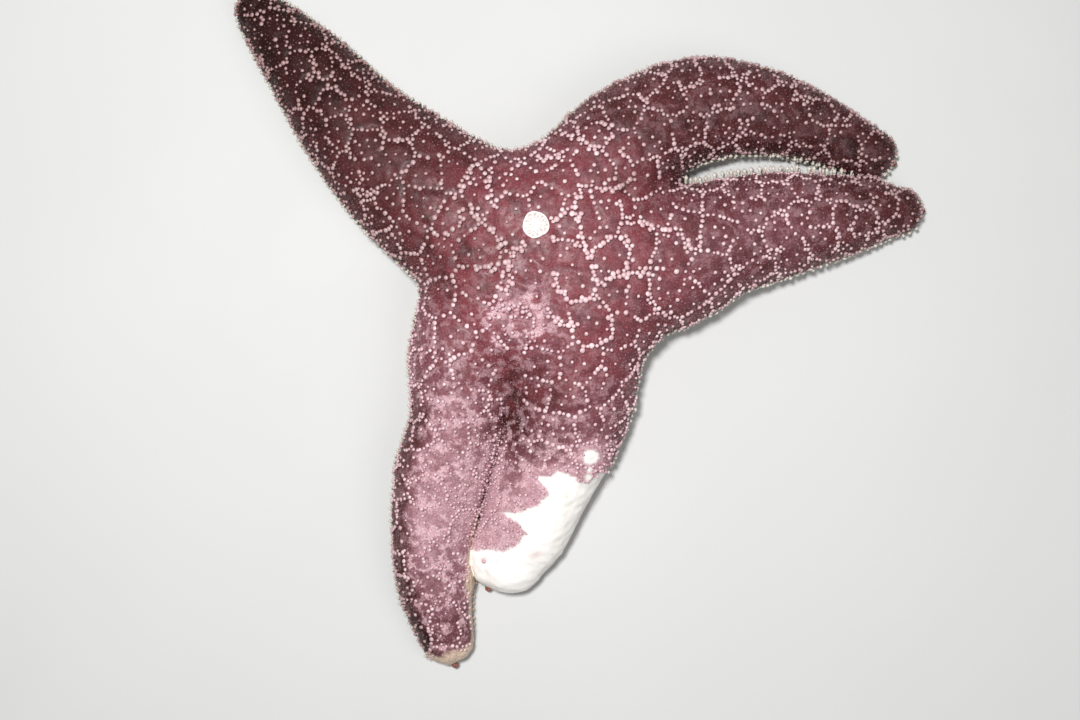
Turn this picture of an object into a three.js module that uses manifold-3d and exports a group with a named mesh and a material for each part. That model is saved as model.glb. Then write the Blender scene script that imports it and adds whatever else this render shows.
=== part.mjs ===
// An ochre sea star at life size: a low domed disc with five stout arms, two pairs of them lying side by side.
// Millimetres, +Z up. The origin is on the floor, under the middle of the animal's bounding box.
// The surface of the solids is the envelope of the spine tips. The underside is flat, with a groove along each
// arm and the mouth in the middle. Thin cuts part the disc from the arms, and each arm into three lengths.
import * as THREE from "three";
import { mergeVertices } from "three/addons/utils/BufferGeometryUtils.js";
import Module from "manifold-3d";

const wasm = await Module();
wasm.setup();
const { clamp, degToRad, lerp } = THREE.MathUtils;

// ---- Driving dimensions -------------------------------------------------------------------------------------

// The middle of the disc, where the five arms meet, with the half width and height of each arm there.
const DISC = { x: -9.3, y: 16.6, halfWidth: 27, height: 33 };

// Each arm's midline from the disc outwards: x, y, half width and height at each station.
// The last station is the centre of the rounded tip, and its half width is the tip's radius.
const ARMS = {
  upper_left: [
    [-37.5, 34.4, 23.2, 29.5],
    [-54.3, 47.6, 20.6, 26.5],
    [-68.7, 61.8, 16.9, 23.0],
    [-80.1, 76.2, 14.0, 19.5],
    [-91.2, 88.8, 10.3, 15.5],
    [-96.9, 95.4, 7.9, 12.0],
  ],
  upper_right: [
    [10.0, 49.8, 19.8, 29.5],
    [23.7, 61.2, 16.9, 27.0],
    [38.7, 65.7, 16.0, 24.0],
    [56.7, 64.5, 13.2, 20.5],
    [71.7, 60.0, 10.8, 16.5],
    [88.2, 53.1, 8.0, 12.0],
  ],
  right: [
    [25.2, 20.4, 21.9, 29.5],
    [42.3, 26.8, 18.2, 27.0],
    [59.7, 30.9, 16.6, 23.5],
    [78.0, 33.6, 13.1, 19.0],
    [88.2, 35.1, 10.6, 15.5],
    [96.3, 35.4, 7.9, 12.0],
  ],
  lower_middle: [
    [-2.4, -13.8, 20.6, 28.0],
    [-4.8, -30.6, 17.8, 25.0],
    [-11.7, -47.7, 15.9, 22.5],
    [-17.1, -61.5, 14.4, 19.5],
    [-21.2, -68.4, 12.7, 16.5],
  ],
  lower_left: [
    [-34.0, -1.5, 16.4, 28.5],
    [-36.9, -27.3, 14.3, 26.0],
    [-41.7, -43.8, 14.6, 24.0],
    [-44.4, -63.6, 12.6, 20.5],
    [-43.2, -79.2, 12.0, 17.5],
    [-39.9, -93.6, 9.0, 12.5],
  ],
};

// The five inner corners between neighbouring arms. Straight lines between them bound the disc.
const CORNERS = {
  top: [-22.8, 56.4],
  upper_right: [33.0, 46.2],
  lower_right: [19.8, -10.2],
  bottom: [-24.0, -19.2],
  left: [-53.1, 13.8],
};
// The two corners on either side of each arm.
const BASES = {
  upper_left: ["top", "left"],
  lower_left: ["left", "bottom"],
  lower_middle: ["bottom", "lower_right"],
  right: ["lower_right", "upper_right"],
  upper_right: ["upper_right", "top"],
};

const WIDEST_AT = 0.3; // the arm is widest at this share of its height
const DOME_POWER = 2.15; // 2 makes an ellipse, and a higher power has fuller shoulders
const FLAT_SHARE = 0.62; // the flank starts to curve under beyond this share of the half width
const BELOW_FLOOR = 1.6; // how far the curve would reach below the floor, which cuts it flat
const BLEND = { middle: 0.5, reach: 33, least: 0.01 }; // how strongly and how far out the arms melt together
const LIKENESS = 0.12; // how evenly two arms that are about as near share in the height

const CUT_GAP = 0.3; // between solids that meet
const LENGTHS = ["base", "middle", "tip"];
const LENGTH_CUTS = [0.4, 0.75]; // where an arm is parted, as shares of its length beyond the disc

const GROOVE = { mouthEnd: 3.6, tipEnd: 1.5, depthShare: 0.24, maxDepth: 5.5, tipShare: 0.55 };
const MOUTH = { radius: 8.5, depth: 7.5, lipHeight: 1.8, lipThickness: 3.2, opening: 2.2 };
const MADREPORITE = { x: -13.2, y: 28.5, radius: 3.9, rise: 0.9, depth: 3.0 };
const EYESPOT = { radius: 1.1, height: 3.4, sunk: 0.3 }; // sunk is the share of the radius under the surface

const GRID = 4.8; // spacing of the surface net
const SLOPE_STEP = 0.05; // how far apart two places are that the surface's slope is worked out from
const FAR_MOVE = 0.9; // a vertex of the net that would move farther to reach the surface stays put
const SLIVER = 0.02; // vertices closer than this become one
const MIDLINE_STEPS = 6; // pieces of midline between two stations
const TURNED_SIDES = 18;

const ARM_NAMES = Object.keys(ARMS);

// ---- The body as a function of place ------------------------------------------------------------------------

// The midline of an arm as short straight pieces, from the disc's middle to the tip's centre.
function midlineOf(stations) {
  const knots = [[DISC.x, DISC.y, DISC.halfWidth, DISC.height], ...stations];
  const track = new THREE.CatmullRomCurve3(
    knots.map(([x, y]) => new THREE.Vector3(x, y, 0)),
    false,
    "centripetal",
  );
  const points = [];
  const spans = knots.length - 1;
  let along = 0;
  for (let i = 0; i <= spans * MIDLINE_STEPS; i++) {
    const at = i / MIDLINE_STEPS;
    const knot = Math.min(Math.floor(at), spans - 1);
    const { x, y } = track.getPoint(at / spans);
    if (i) along += Math.hypot(x - points[i - 1].x, y - points[i - 1].y);
    points.push({
      x,
      y,
      along,
      halfWidth: lerp(knots[knot][2], knots[knot + 1][2], at - knot),
      height: lerp(knots[knot][3], knots[knot + 1][3], at - knot),
    });
  }
  return points;
}

const MIDLINES = Object.fromEntries(ARM_NAMES.map((name) => [name, midlineOf(ARMS[name])]));

// How far (x, y) is from an arm's midline, as a share of the half width there, with the size of the arm there.
function armAt(name, x, y) {
  const line = MIDLINES[name];
  let nearest = { distance: Infinity };
  for (let i = 0; i + 1 < line.length; i++) {
    const a = line[i];
    const b = line[i + 1];
    const dx = b.x - a.x;
    const dy = b.y - a.y;
    const t = clamp(((x - a.x) * dx + (y - a.y) * dy) / (dx * dx + dy * dy), 0, 1);
    const distance = Math.hypot(x - a.x - t * dx, y - a.y - t * dy);
    if (distance < nearest.distance) nearest = { distance, a, b, t };
  }
  const { distance, a, b, t } = nearest;
  const halfWidth = lerp(a.halfWidth, b.halfWidth, t);
  return { share: distance / halfWidth, halfWidth, height: lerp(a.height, b.height, t) };
}

// All arms together: the blended share of the half width, and the half width and height there.
function planAt(x, y) {
  const arms = ARM_NAMES.map((name) => armAt(name, x, y));
  const least = Math.min(...arms.map((arm) => arm.share));
  const out = Math.hypot(x - DISC.x, y - DISC.y) / BLEND.reach;
  const blend = Math.max(BLEND.middle * Math.exp(-out * out), BLEND.least);
  const sumOf = (spread) => arms.reduce((sum, arm) => sum + Math.exp((least - arm.share) / spread), 0);
  const share = Math.max(least - blend * Math.log(sumOf(blend)), 0);
  const spread = Math.max(blend, LIKENESS);
  const weigh = (arm) => Math.exp((least - arm.share) / spread) / sumOf(spread);
  const mean = (key) => arms.reduce((sum, arm) => sum + arm[key] * weigh(arm), 0);
  return { share, halfWidth: mean("halfWidth"), height: mean("height"), arms };
}

// Below zero inside the body, and about a distance in millimetres near its surface.
function bodyAt(x, y, z) {
  const { share, halfWidth, height } = planAt(x, y);
  const widestZ = WIDEST_AT * height;
  if (z >= widestZ) {
    const up = (z - widestZ) / (height - widestZ);
    return halfWidth * (Math.pow(share ** DOME_POWER + up ** DOME_POWER, 1 / DOME_POWER) - 1);
  }
  const side = Math.max(share - FLAT_SHARE, 0) / (1 - FLAT_SHARE);
  const down = (widestZ - z) / (widestZ + BELOW_FLOOR);
  return halfWidth * (1 - FLAT_SHARE) * (Math.hypot(side, down) - 1);
}

// The body where this arm is the nearest one, short of its neighbours by half a cut's gap.
function armBodyAt(name, x, y, z) {
  const { arms } = planAt(x, y);
  const own = arms[ARM_NAMES.indexOf(name)];
  const other = Math.min(...arms.filter((arm) => arm !== own).map((arm) => arm.share));
  const beyond = ((own.share - other) * own.halfWidth + CUT_GAP) / 2;
  return Math.max(bodyAt(x, y, z), beyond);
}

// The height of the body's upper surface at (x, y).
function topAt(x, y) {
  const { share, height } = planAt(x, y);
  const widestZ = WIDEST_AT * height;
  return widestZ + (height - widestZ) * (1 - share ** DOME_POWER) ** (1 / DOME_POWER);
}

// How far out the lower flank of an arm is at height z, as a share of the half width.
function flankAt(z, height) {
  const widestZ = WIDEST_AT * height;
  const down = (widestZ - z) / (widestZ + BELOW_FLOOR);
  return FLAT_SHARE + (1 - FLAT_SHARE) * Math.sqrt(1 - down * down);
}

// ---- The surface net ----------------------------------------------------------------------------------------

// The point moved along the field's slope to where the field is zero, unless that is far, as at a sharp edge.
function ontoSurface(field, start) {
  let point = start;
  for (let step = 0; step < 2; step++) {
    const here = field(...point);
    const slope = [0, 1, 2].map((axis) => {
      const beside = [...point];
      beside[axis] += SLOPE_STEP;
      return (field(...beside) - here) / SLOPE_STEP;
    });
    const steepness = slope.reduce((sum, v) => sum + v * v, 0);
    point = point.map((v, axis) => v - (here * slope[axis]) / steepness);
  }
  const moved = Math.hypot(...point.map((v, axis) => v - start[axis]));
  return moved < FAR_MOVE ? point : start;
}

// The field's values on a grid over a box. All nets share one grid, so that parts match where they meet.
function gridOf(field, low, high) {
  const first = low.map((v) => Math.floor(v / GRID) - 1);
  const count = high.map((v, i) => Math.ceil(v / GRID) + 2 - first[i]);
  const index = (cell) => (cell[2] * count[1] + cell[1]) * count[0] + cell[0];
  const place = (cell) => cell.map((v, i) => (first[i] + v) * GRID);
  const cells = [];
  for (let k = 0; k < count[2]; k++)
    for (let j = 0; j < count[1]; j++) for (let i = 0; i < count[0]; i++) cells.push([i, j, k]);
  const values = Float64Array.from(cells, (cell) => field(...place(cell)));
  const at = (cell) => values[index(cell)];
  const inner = (cell) => cell.every((v, i) => v > 0 && v + 1 < count[i]);
  return { cells: cells.filter((cell) => cell.every((v, i) => v + 1 < count[i])), index, place, at, inner };
}

const plus = (cell, step, times = 1) => cell.map((v, i) => v + step[i] * times);
const AXES = [
  [1, 0, 0],
  [0, 1, 0],
  [0, 0, 1],
];
const BOX_CORNERS = [0, 1, 2, 3, 4, 5, 6, 7].map((c) => [c & 1, (c >> 1) & 1, (c >> 2) & 1]);
const BOX_EDGES = BOX_CORNERS.flatMap((corner) =>
  AXES.filter((axis) => !corner.some((v, i) => v && axis[i])).map((axis) => [corner, plus(corner, axis)]),
);

// The middle of the places where a grid cell's edges cross the surface, or nothing where none does.
function crossingIn(grid, cell) {
  const sum = [0, 0, 0];
  let crossings = 0;
  for (const [a, b] of BOX_EDGES) {
    const from = grid.at(plus(cell, a));
    const to = grid.at(plus(cell, b));
    if (from < 0 === to < 0) continue;
    const share = from / (from - to);
    sum.forEach((v, i) => (sum[i] = v + lerp(a[i], b[i], share)));
    crossings++;
  }
  if (crossings) return grid.place(cell).map((v, i) => v + (sum[i] / crossings) * GRID);
}

// A closed net over the surface where field() is zero: a vertex in each cell that the surface crosses,
// and a four-sided face round each grid edge that it crosses.
function surfaceNet(field, low, high) {
  const grid = gridOf(field, low, high);
  const vertices = [];
  const vertexOf = new Map();
  for (const cell of grid.cells) {
    const crossing = crossingIn(grid, cell);
    if (!crossing) continue;
    vertexOf.set(grid.index(cell), vertices.length);
    vertices.push(ontoSurface(field, crossing));
  }
  const triangles = [];
  for (const cell of grid.cells.filter(grid.inner))
    AXES.forEach((axis, i) => {
      const inside = grid.at(cell) < 0;
      if (inside === grid.at(plus(cell, axis)) < 0) return;
      const u = AXES[(i + 1) % 3];
      const w = AXES[(i + 2) % 3];
      const vertex = (a, b) => vertexOf.get(grid.index(plus(plus(cell, u, -a), w, -b)));
      const quad = [vertex(1, 1), vertex(0, 1), vertex(0, 0), vertex(1, 0)];
      if (!inside) quad.reverse();
      triangles.push(quad[0], quad[1], quad[2], quad[0], quad[2], quad[3]);
    });
  return geometryOf(vertices.flat(), triangles);
}

// ---- Geometries and solids ----------------------------------------------------------------------------------

function geometryOf(places, triangles) {
  const geometry = new THREE.BufferGeometry();
  geometry.setAttribute("position", new THREE.Float32BufferAttribute(places, 3));
  geometry.setIndex(Array.from(triangles));
  return geometry;
}

// A closed geometry as a solid that can be cut and joined.
function solidOf(geometry) {
  const bare = new THREE.BufferGeometry();
  bare.setAttribute("position", geometry.getAttribute("position"));
  bare.setIndex(geometry.getIndex());
  const merged = mergeVertices(bare, 1e-4);
  return new wasm.Manifold(
    new wasm.Mesh({
      numProp: 3,
      vertProperties: merged.attributes.position.array,
      triVerts: new Uint32Array(merged.index.array),
    }),
  );
}

// A solid as a named mesh, without the slivers that cuts leave.
function meshOf(name, solid, material) {
  const { vertProperties, triVerts } = solid.getMesh();
  const geometry = mergeVertices(geometryOf(vertProperties, triVerts), SLIVER);
  const corners = geometry.index.array;
  const kept = [];
  for (let i = 0; i < corners.length; i += 3) {
    const [a, b, c] = corners.slice(i, i + 3);
    if (a !== b && b !== c && c !== a) kept.push(a, b, c);
  }
  geometry.setIndex(kept);
  geometry.computeVertexNormals();
  const mesh = new THREE.Mesh(geometry, material);
  mesh.name = name;
  return mesh;
}

// A solid turned about the vertical through (x, y), from a profile of [radius, height].
function turned(profile, { x, y }) {
  const points = profile.map(([radius, z]) => new THREE.Vector2(radius, z));
  return solidOf(new THREE.LatheGeometry(points, TURNED_SIDES).rotateX(Math.PI / 2).translate(x, y, 0));
}

// ---- The mouth and the grooves ------------------------------------------------------------------------------

function mouthRecess() {
  const { radius, depth } = MOUTH;
  const profile = [
    [0, -1],
    [radius, -1],
    [radius, depth * 0.55],
    [radius * 0.8, depth * 0.85],
    [radius * 0.4, depth],
    [0, depth],
  ];
  return turned(profile, DISC);
}

// The soft ring round the mouth's opening, inside its recess.
function mouthRing() {
  const { radius, lipHeight, lipThickness, opening } = MOUTH;
  const outer = radius - CUT_GAP;
  const top = lipHeight + lipThickness;
  const profile = [
    [opening, lipHeight + lipThickness * 0.4],
    [opening * 1.5, lipHeight],
    [outer * 0.8, lipHeight + lipThickness * 0.1],
    [outer, lipHeight + lipThickness * 0.3],
    [outer * 0.9, top - lipThickness * 0.2],
    [outer * 0.7, top],
    [opening * 1.5, top],
  ];
  return turned([...profile, profile[0]], DISC);
}

// The direction in which an arm's tip points.
function aheadOf(line) {
  const end = line[line.length - 1];
  const before = line[line.length - 3];
  return new THREE.Vector2(end.x - before.x, end.y - before.y).normalize();
}

// The groove under an arm: a half ellipse that runs along the midline, from the mouth to the tip.
function groove(name) {
  const line = MIDLINES[name];
  const end = line[line.length - 1];
  const ahead = aheadOf(line).multiplyScalar(end.halfWidth * GROOVE.tipShare);
  const stops = line.filter((p, i) => i % 3 === 0 && p !== end);
  stops.push(end, { ...end, x: end.x + ahead.x, y: end.y + ahead.y, along: end.along + ahead.length() });
  const length = stops[stops.length - 1].along;
  const arc = [0, 50, 90, 130, 180].map(degToRad);
  const places = stops.flatMap((p, i) => {
    const next = stops[Math.min(i + 1, stops.length - 1)];
    const last = stops[Math.max(i - 1, 0)];
    const across = new THREE.Vector2(last.y - next.y, next.x - last.x).normalize();
    const half = lerp(GROOVE.mouthEnd, GROOVE.tipEnd, p.along / length);
    const depth = Math.min(GROOVE.depthShare * p.height, GROOVE.maxDepth);
    const ring = [[half, -1], ...arc.map((a) => [half * Math.cos(a), depth * Math.sin(a)]), [-half, -1]];
    return ring.flatMap(([side, z]) => [p.x + across.x * side, p.y + across.y * side, z]);
  });
  const size = arc.length + 2;
  const last = (stops.length - 1) * size;
  const triangles = [];
  for (let i = 0; i < last; i += size)
    for (let j = 0; j < size; j++) {
      const a = i + j;
      const b = i + ((j + 1) % size);
      triangles.push(a, b, b + size, a, b + size, a + size);
    }
  for (let j = 1; j + 1 < size; j++) triangles.push(0, j + 1, j, last, last + j, last + j + 1);
  return solidOf(geometryOf(places, triangles));
}

// ---- The sieve plate and the eyespots, each with the hollow that it sits in ---------------------------------

function madreporite() {
  const { x, y, radius, rise, depth } = MADREPORITE;
  const top = topAt(x, y);
  const plate = [
    [0, top - depth],
    [radius, top - depth],
    [radius, top],
    [radius * 0.8, top + rise * 0.7],
    [radius * 0.4, top + rise],
    [0, top + rise],
  ];
  const hollow = [
    [0, top - depth - CUT_GAP],
    [radius + CUT_GAP, top - depth - CUT_GAP],
    [radius + CUT_GAP, top + rise + depth],
    [0, top + rise + depth],
  ];
  return { piece: turned(plate, MADREPORITE), hollow: turned(hollow, MADREPORITE) };
}

// A round bead low on the very tip of an arm.
function eyespot(name) {
  const line = MIDLINES[name];
  const end = line[line.length - 1];
  const out = end.halfWidth * flankAt(EYESPOT.height, end.height) - EYESPOT.radius * EYESPOT.sunk;
  const ahead = aheadOf(line).multiplyScalar(out);
  const ball = (radius) =>
    solidOf(new THREE.IcosahedronGeometry(radius, 1).translate(end.x + ahead.x, end.y + ahead.y, EYESPOT.height));
  return { piece: ball(EYESPOT.radius), hollow: ball(EYESPOT.radius + CUT_GAP) };
}

// ---- The disc and the arms ----------------------------------------------------------------------------------

const FLOOR = { normal: [0, 0, 1], offset: 0 };

// What lies beyond a plane, or behind it, less half a cut's gap.
const beyond = (solid, { normal, offset }) => solid.trimByPlane(normal, offset + CUT_GAP / 2);
const behind = (solid, { normal, offset }) => solid.trimByPlane(normal.map((v) => -v), -offset + CUT_GAP / 2);

// The upright plane where an arm leaves the disc, facing outwards.
function basePlane(name) {
  const [from, to] = BASES[name].map((corner) => new THREE.Vector2(...CORNERS[corner]));
  const normal = new THREE.Vector2(to.y - from.y, from.x - to.x).normalize();
  if (normal.dot(from) < normal.dot(new THREE.Vector2(DISC.x, DISC.y))) normal.negate();
  return { normal: [normal.x, normal.y, 0], offset: normal.dot(from) };
}

// The disc, from a net that reaches past its corners on all sides.
function disc() {
  const reach = 1.2 * Math.max(...Object.values(CORNERS).map(([x, y]) => Math.hypot(x - DISC.x, y - DISC.y)));
  const field = (x, y, z) => Math.max(bodyAt(x, y, z), Math.hypot(x - DISC.x, y - DISC.y) - reach);
  const low = [DISC.x - reach, DISC.y - reach, -BELOW_FLOOR];
  const high = [DISC.x + reach, DISC.y + reach, DISC.height];
  const whole = solidOf(surfaceNet(field, low, high)).trimByPlane(FLOOR.normal, FLOOR.offset);
  return ARM_NAMES.map(basePlane).reduce(behind, whole);
}

// One whole arm, from where it leaves the disc to its tip.
function arm(name) {
  const line = MIDLINES[name];
  const reach = (key, side) => side * Math.max(...line.map((p) => side * p[key] + p.halfWidth * 1.3));
  const field = (x, y, z) => armBodyAt(name, x, y, z);
  const low = [reach("x", -1), reach("y", -1), -BELOW_FLOOR];
  const high = [reach("x", 1), reach("y", 1), DISC.height];
  const net = solidOf(surfaceNet(field, low, high)).trimByPlane(FLOOR.normal, FLOOR.offset);
  return beyond(net, basePlane(name));
}

// The upright plane square to an arm's midline, at a share of its length beyond the disc.
function crossPlane(name, share) {
  const line = MIDLINES[name];
  const { normal, offset } = basePlane(name);
  const start = line.find((p) => p.x * normal[0] + p.y * normal[1] > offset).along;
  const at = lerp(start, line[line.length - 1].along, share);
  const i = line.findIndex((p) => p.along >= at);
  const a = line[i - 1];
  const b = line[i];
  const t = (at - a.along) / (b.along - a.along);
  const along = new THREE.Vector2(b.x - a.x, b.y - a.y).normalize();
  const place = new THREE.Vector2(lerp(a.x, b.x, t), lerp(a.y, b.y, t));
  return { normal: [along.x, along.y, 0], offset: along.dot(place) };
}

function lengthsOf(name, whole) {
  const [inner, outer] = LENGTH_CUTS.map((share) => crossPlane(name, share));
  return [behind(whole, inner), behind(beyond(whole, inner), outer), beyond(whole, outer)];
}

// ---- The sea star -------------------------------------------------------------------------------------------

const skin = new THREE.MeshStandardMaterial({ color: 0x6e434d, roughness: 0.55, metalness: 0 });
const mouthSkin = new THREE.MeshStandardMaterial({ color: 0xb48a7c, roughness: 0.5, metalness: 0 });
const plateWhite = new THREE.MeshStandardMaterial({ color: 0xf2e9e4, roughness: 0.6, metalness: 0 });
const eyeRed = new THREE.MeshStandardMaterial({ color: 0xa8301f, roughness: 0.35, metalness: 0 });

const star = new THREE.Group();
const grooves = ARM_NAMES.map(groove).reduce((all, one) => all.add(one));
const plate = madreporite();
const body = disc().subtract(grooves).subtract(mouthRecess()).subtract(plate.hollow);
star.add(meshOf("disc", body, skin));
star.add(meshOf("mouth", mouthRing(), mouthSkin));
star.add(meshOf("madreporite", plate.piece, plateWhite));
for (const name of ARM_NAMES) {
  const eye = eyespot(name);
  const whole = arm(name).subtract(grooves).subtract(eye.hollow);
  lengthsOf(name, whole).forEach((length, i) => star.add(meshOf(`arm_${name}_${LENGTHS[i]}`, length, skin)));
  star.add(meshOf(`eyespot_${name}`, eye.piece, eyeRed));
}

export default star;
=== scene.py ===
"""The looks of an ochre sea star: one skin over the disc and the arms, with its net of spines, soft gills,
edge and underside spines and tube feet, and the mouth, the sieve plate and the eyespots.
Shapes are worked out in millimetres and written to the meshes in metres."""

import bpy
import numpy as np
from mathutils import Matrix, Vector


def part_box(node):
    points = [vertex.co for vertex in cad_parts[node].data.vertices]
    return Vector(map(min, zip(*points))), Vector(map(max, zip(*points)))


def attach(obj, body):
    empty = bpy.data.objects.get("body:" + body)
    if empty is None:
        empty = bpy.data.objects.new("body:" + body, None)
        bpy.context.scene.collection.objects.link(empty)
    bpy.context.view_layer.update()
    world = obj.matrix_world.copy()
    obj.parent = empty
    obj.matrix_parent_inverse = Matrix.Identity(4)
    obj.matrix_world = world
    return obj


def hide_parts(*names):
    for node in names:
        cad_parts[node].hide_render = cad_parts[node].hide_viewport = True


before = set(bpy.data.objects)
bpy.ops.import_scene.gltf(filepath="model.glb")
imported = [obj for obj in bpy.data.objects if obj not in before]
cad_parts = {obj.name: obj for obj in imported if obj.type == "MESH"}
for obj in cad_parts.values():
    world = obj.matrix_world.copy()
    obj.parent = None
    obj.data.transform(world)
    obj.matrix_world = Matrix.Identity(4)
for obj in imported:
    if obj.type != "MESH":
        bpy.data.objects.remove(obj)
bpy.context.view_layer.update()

MM = 0.001
AXES = np.eye(3, dtype=int)

# ---- Sizes of the body in millimetres, as in the frame's own solids ----

DISC = (-9.3, 16.6, 27.0, 33.0)  # x, y, half width and height in the middle
ARMS = {  # x, y, half width and height along each arm's midline
    "upper_left": [
        (-37.5, 34.4, 23.2, 29.5), (-54.3, 47.6, 20.6, 26.5), (-68.7, 61.8, 16.9, 23.0),
        (-80.1, 76.2, 14.0, 19.5), (-91.2, 88.8, 10.3, 15.5), (-96.9, 95.4, 7.9, 12.0),
    ],
    "upper_right": [
        (10.0, 49.8, 19.8, 29.5), (23.7, 61.2, 16.9, 27.0), (38.7, 65.7, 16.0, 24.0),
        (56.7, 64.5, 13.2, 20.5), (71.7, 60.0, 10.8, 16.5), (88.2, 53.1, 8.0, 12.0),
    ],
    "right": [
        (25.2, 20.4, 21.9, 29.5), (42.3, 26.8, 18.2, 27.0), (59.7, 30.9, 16.6, 23.5),
        (78.0, 33.6, 13.1, 19.0), (88.2, 35.1, 10.6, 15.5), (96.3, 35.4, 7.9, 12.0),
    ],
    "lower_middle": [
        (-2.4, -13.8, 20.6, 28.0), (-4.8, -30.6, 17.8, 25.0), (-11.7, -47.7, 15.9, 22.5),
        (-17.1, -61.5, 14.4, 19.5), (-21.2, -68.4, 12.7, 16.5),
    ],
    "lower_left": [
        (-34.0, -1.5, 16.4, 28.5), (-36.9, -27.3, 14.3, 26.0), (-41.7, -43.8, 14.6, 24.0),
        (-44.4, -63.6, 12.6, 20.5), (-43.2, -79.2, 12.0, 17.5), (-39.9, -93.6, 9.0, 12.5),
    ],
}
ARM_NAMES = list(ARMS)
RIGHT, LOWER_MIDDLE, LOWER_LEFT = 2, 3, 4  # places in that list

WIDEST_AT = 0.3  # the body is widest at this share of its height
DOME_POWER = 2.15  # how full the top is rounded
FLAT_SHARE = 0.62  # the underside is flat out to this share of the half width
BELOW_FLOOR = 1.6  # how far under the floor the rounding of the underside would end
BLEND_MIDDLE, BLEND_REACH, BLEND_LEAST = 0.5, 33.0, 0.01  # how softly the arms run together
LIKENESS = 0.12  # the least softness with which the arms' sizes mix
MIDLINE_STEPS = 3
GROOVE_MOUTH_END, GROOVE_TIP_END = 3.6, 1.5  # half widths of the grooves
GROOVE_DEPTH_SHARE, GROOVE_MAX_DEPTH, GROOVE_TIP_SHARE = 0.24, 5.5, 0.55
MOUTH_RADIUS, MOUTH_DEPTH = 8.5, 7.5

COAT = 1.2  # the skin lies this far inside the solids, which reach out to the spine tips
TOUCHING_CLOSER = 0.75  # where two arms touch, the coat is thinner by this share
TOUCHING, TOUCHING_FROM = (1.02, 1.35), (0.9, 1.3)  # how near the second arm is, and from how far out
SOLE = 1.5  # height of the skin over the floor on the underside
SOLE_BLEND, GROOVE_BLEND = 0.8, 0.7
SKIN_GRID = 0.72
SAMPLES = 230000

# ---- The body as a function of place, over arrays of points ----


def fade(low, high, x):
    """0 below low and 1 above high, smooth between them."""
    t = np.clip((x - low) / (high - low), 0, 1)
    return t * t * (3 - 2 * t)


def away(points, place):
    """Each point's distance from a place x, y, seen from above."""
    return np.hypot(points[:, 0] - place[0], points[:, 1] - place[1])


def unit(vectors):
    return vectors / np.linalg.norm(vectors, axis=1, keepdims=True)


def circle(angle):
    """Points on the unit circle."""
    return np.stack([np.cos(angle), np.sin(angle)], -1)


def centripetal_track(knots, steps):
    """Points of a centripetal Catmull-Rom curve, with so many steps between two of its knots."""
    knots = np.asarray(knots, float)
    padded = np.vstack([2 * knots[0] - knots[1], knots, 2 * knots[-1] - knots[-2]])
    out = []
    for i in range(len(knots) - 1):
        p0, p1, p2, p3 = padded[i:i + 4]
        d0, d1, d2 = (np.linalg.norm(b - a) ** 0.5 for a, b in ((p0, p1), (p1, p2), (p2, p3)))
        m1 = ((p1 - p0) / d0 - (p2 - p0) / (d0 + d1) + (p2 - p1) / d1) * d1
        m2 = ((p2 - p1) / d1 - (p3 - p1) / (d1 + d2) + (p3 - p2) / d2) * d1
        t = (np.arange(steps) / steps)[:, None]
        out.append(p1 + m1 * t + (3 * (p2 - p1) - 2 * m1 - m2) * t**2 + (2 * (p1 - p2) + m1 + m2) * t**3)
    return np.vstack([*out, knots[-1:]])


class Midline:
    """One arm's midline as short straight pieces, with the arm's half width and height at each point."""

    def __init__(self, stations):
        knots = np.array([DISC, *stations])
        self.points = centripetal_track(knots[:, :2], MIDLINE_STEPS)
        at = np.arange(len(self.points)) / MIDLINE_STEPS
        self.half = np.interp(at, np.arange(len(knots)), knots[:, 2])
        self.height = np.interp(at, np.arange(len(knots)), knots[:, 3])
        steps = np.diff(self.points, axis=0)
        self.lengths = np.hypot(*steps.T)
        self.along = np.concatenate([[0], np.cumsum(self.lengths)])
        self.directions = steps / self.lengths[:, None]
        self.length = self.along[-1]
        self.groove_end = self.length + self.half[-1] * GROOVE_TIP_SHARE

    def locate(self, xy):
        """Each point's distance from the midline, also signed, and its distance along, width and height."""
        way_x, way_y = self.directions.T
        x = xy[:, :1] - self.points[:-1, 0]
        y = xy[:, 1:2] - self.points[:-1, 1]
        run = x * way_x + y * way_y
        held = np.clip(run, 0, self.lengths)
        distance = (x - held * way_x) ** 2 + (y - held * way_y) ** 2
        k = distance.argmin(1)
        row = np.arange(len(xy))
        distance, t = np.sqrt(distance[row, k]), held[row, k] / self.lengths[k]
        turn = way_x[k] * y[row, k] - way_y[k] * x[row, k]
        past_end = np.where(k == len(self.lengths) - 1, np.maximum(run[row, k] - self.lengths[-1], 0), 0)
        return {
            "distance": distance,
            "across": np.sign(turn) * distance,
            "along": self.along[k] + t * self.lengths[k] + past_end,
            "half": self.half[k] + t * (self.half[k + 1] - self.half[k]),
            "height": self.height[k] + t * (self.height[k + 1] - self.height[k]),
        }

    def at(self, along):
        """Place, direction and height at distances along the midline."""
        place = np.stack([np.interp(along, self.along, self.points[:, axis]) for axis in (0, 1)], -1)
        k = np.clip(np.searchsorted(self.along, along, side="right") - 1, 0, len(self.lengths) - 1)
        return place, self.directions[k], np.interp(along, self.along, self.height)

    def groove(self, along, height):
        """Half width and depth of the groove under the arm."""
        share = np.clip(along / self.groove_end, 0, 1)
        half = GROOVE_MOUTH_END + (GROOVE_TIP_END - GROOVE_MOUTH_END) * share
        return half, np.minimum(GROOVE_DEPTH_SHARE * height, GROOVE_MAX_DEPTH)


MIDLINES = [Midline(ARMS[name]) for name in ARM_NAMES]
LENGTHS = np.array([line.length for line in MIDLINES])
CAPS = np.array([line.half[-1] for line in MIDLINES])  # radius of each rounded tip


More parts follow.
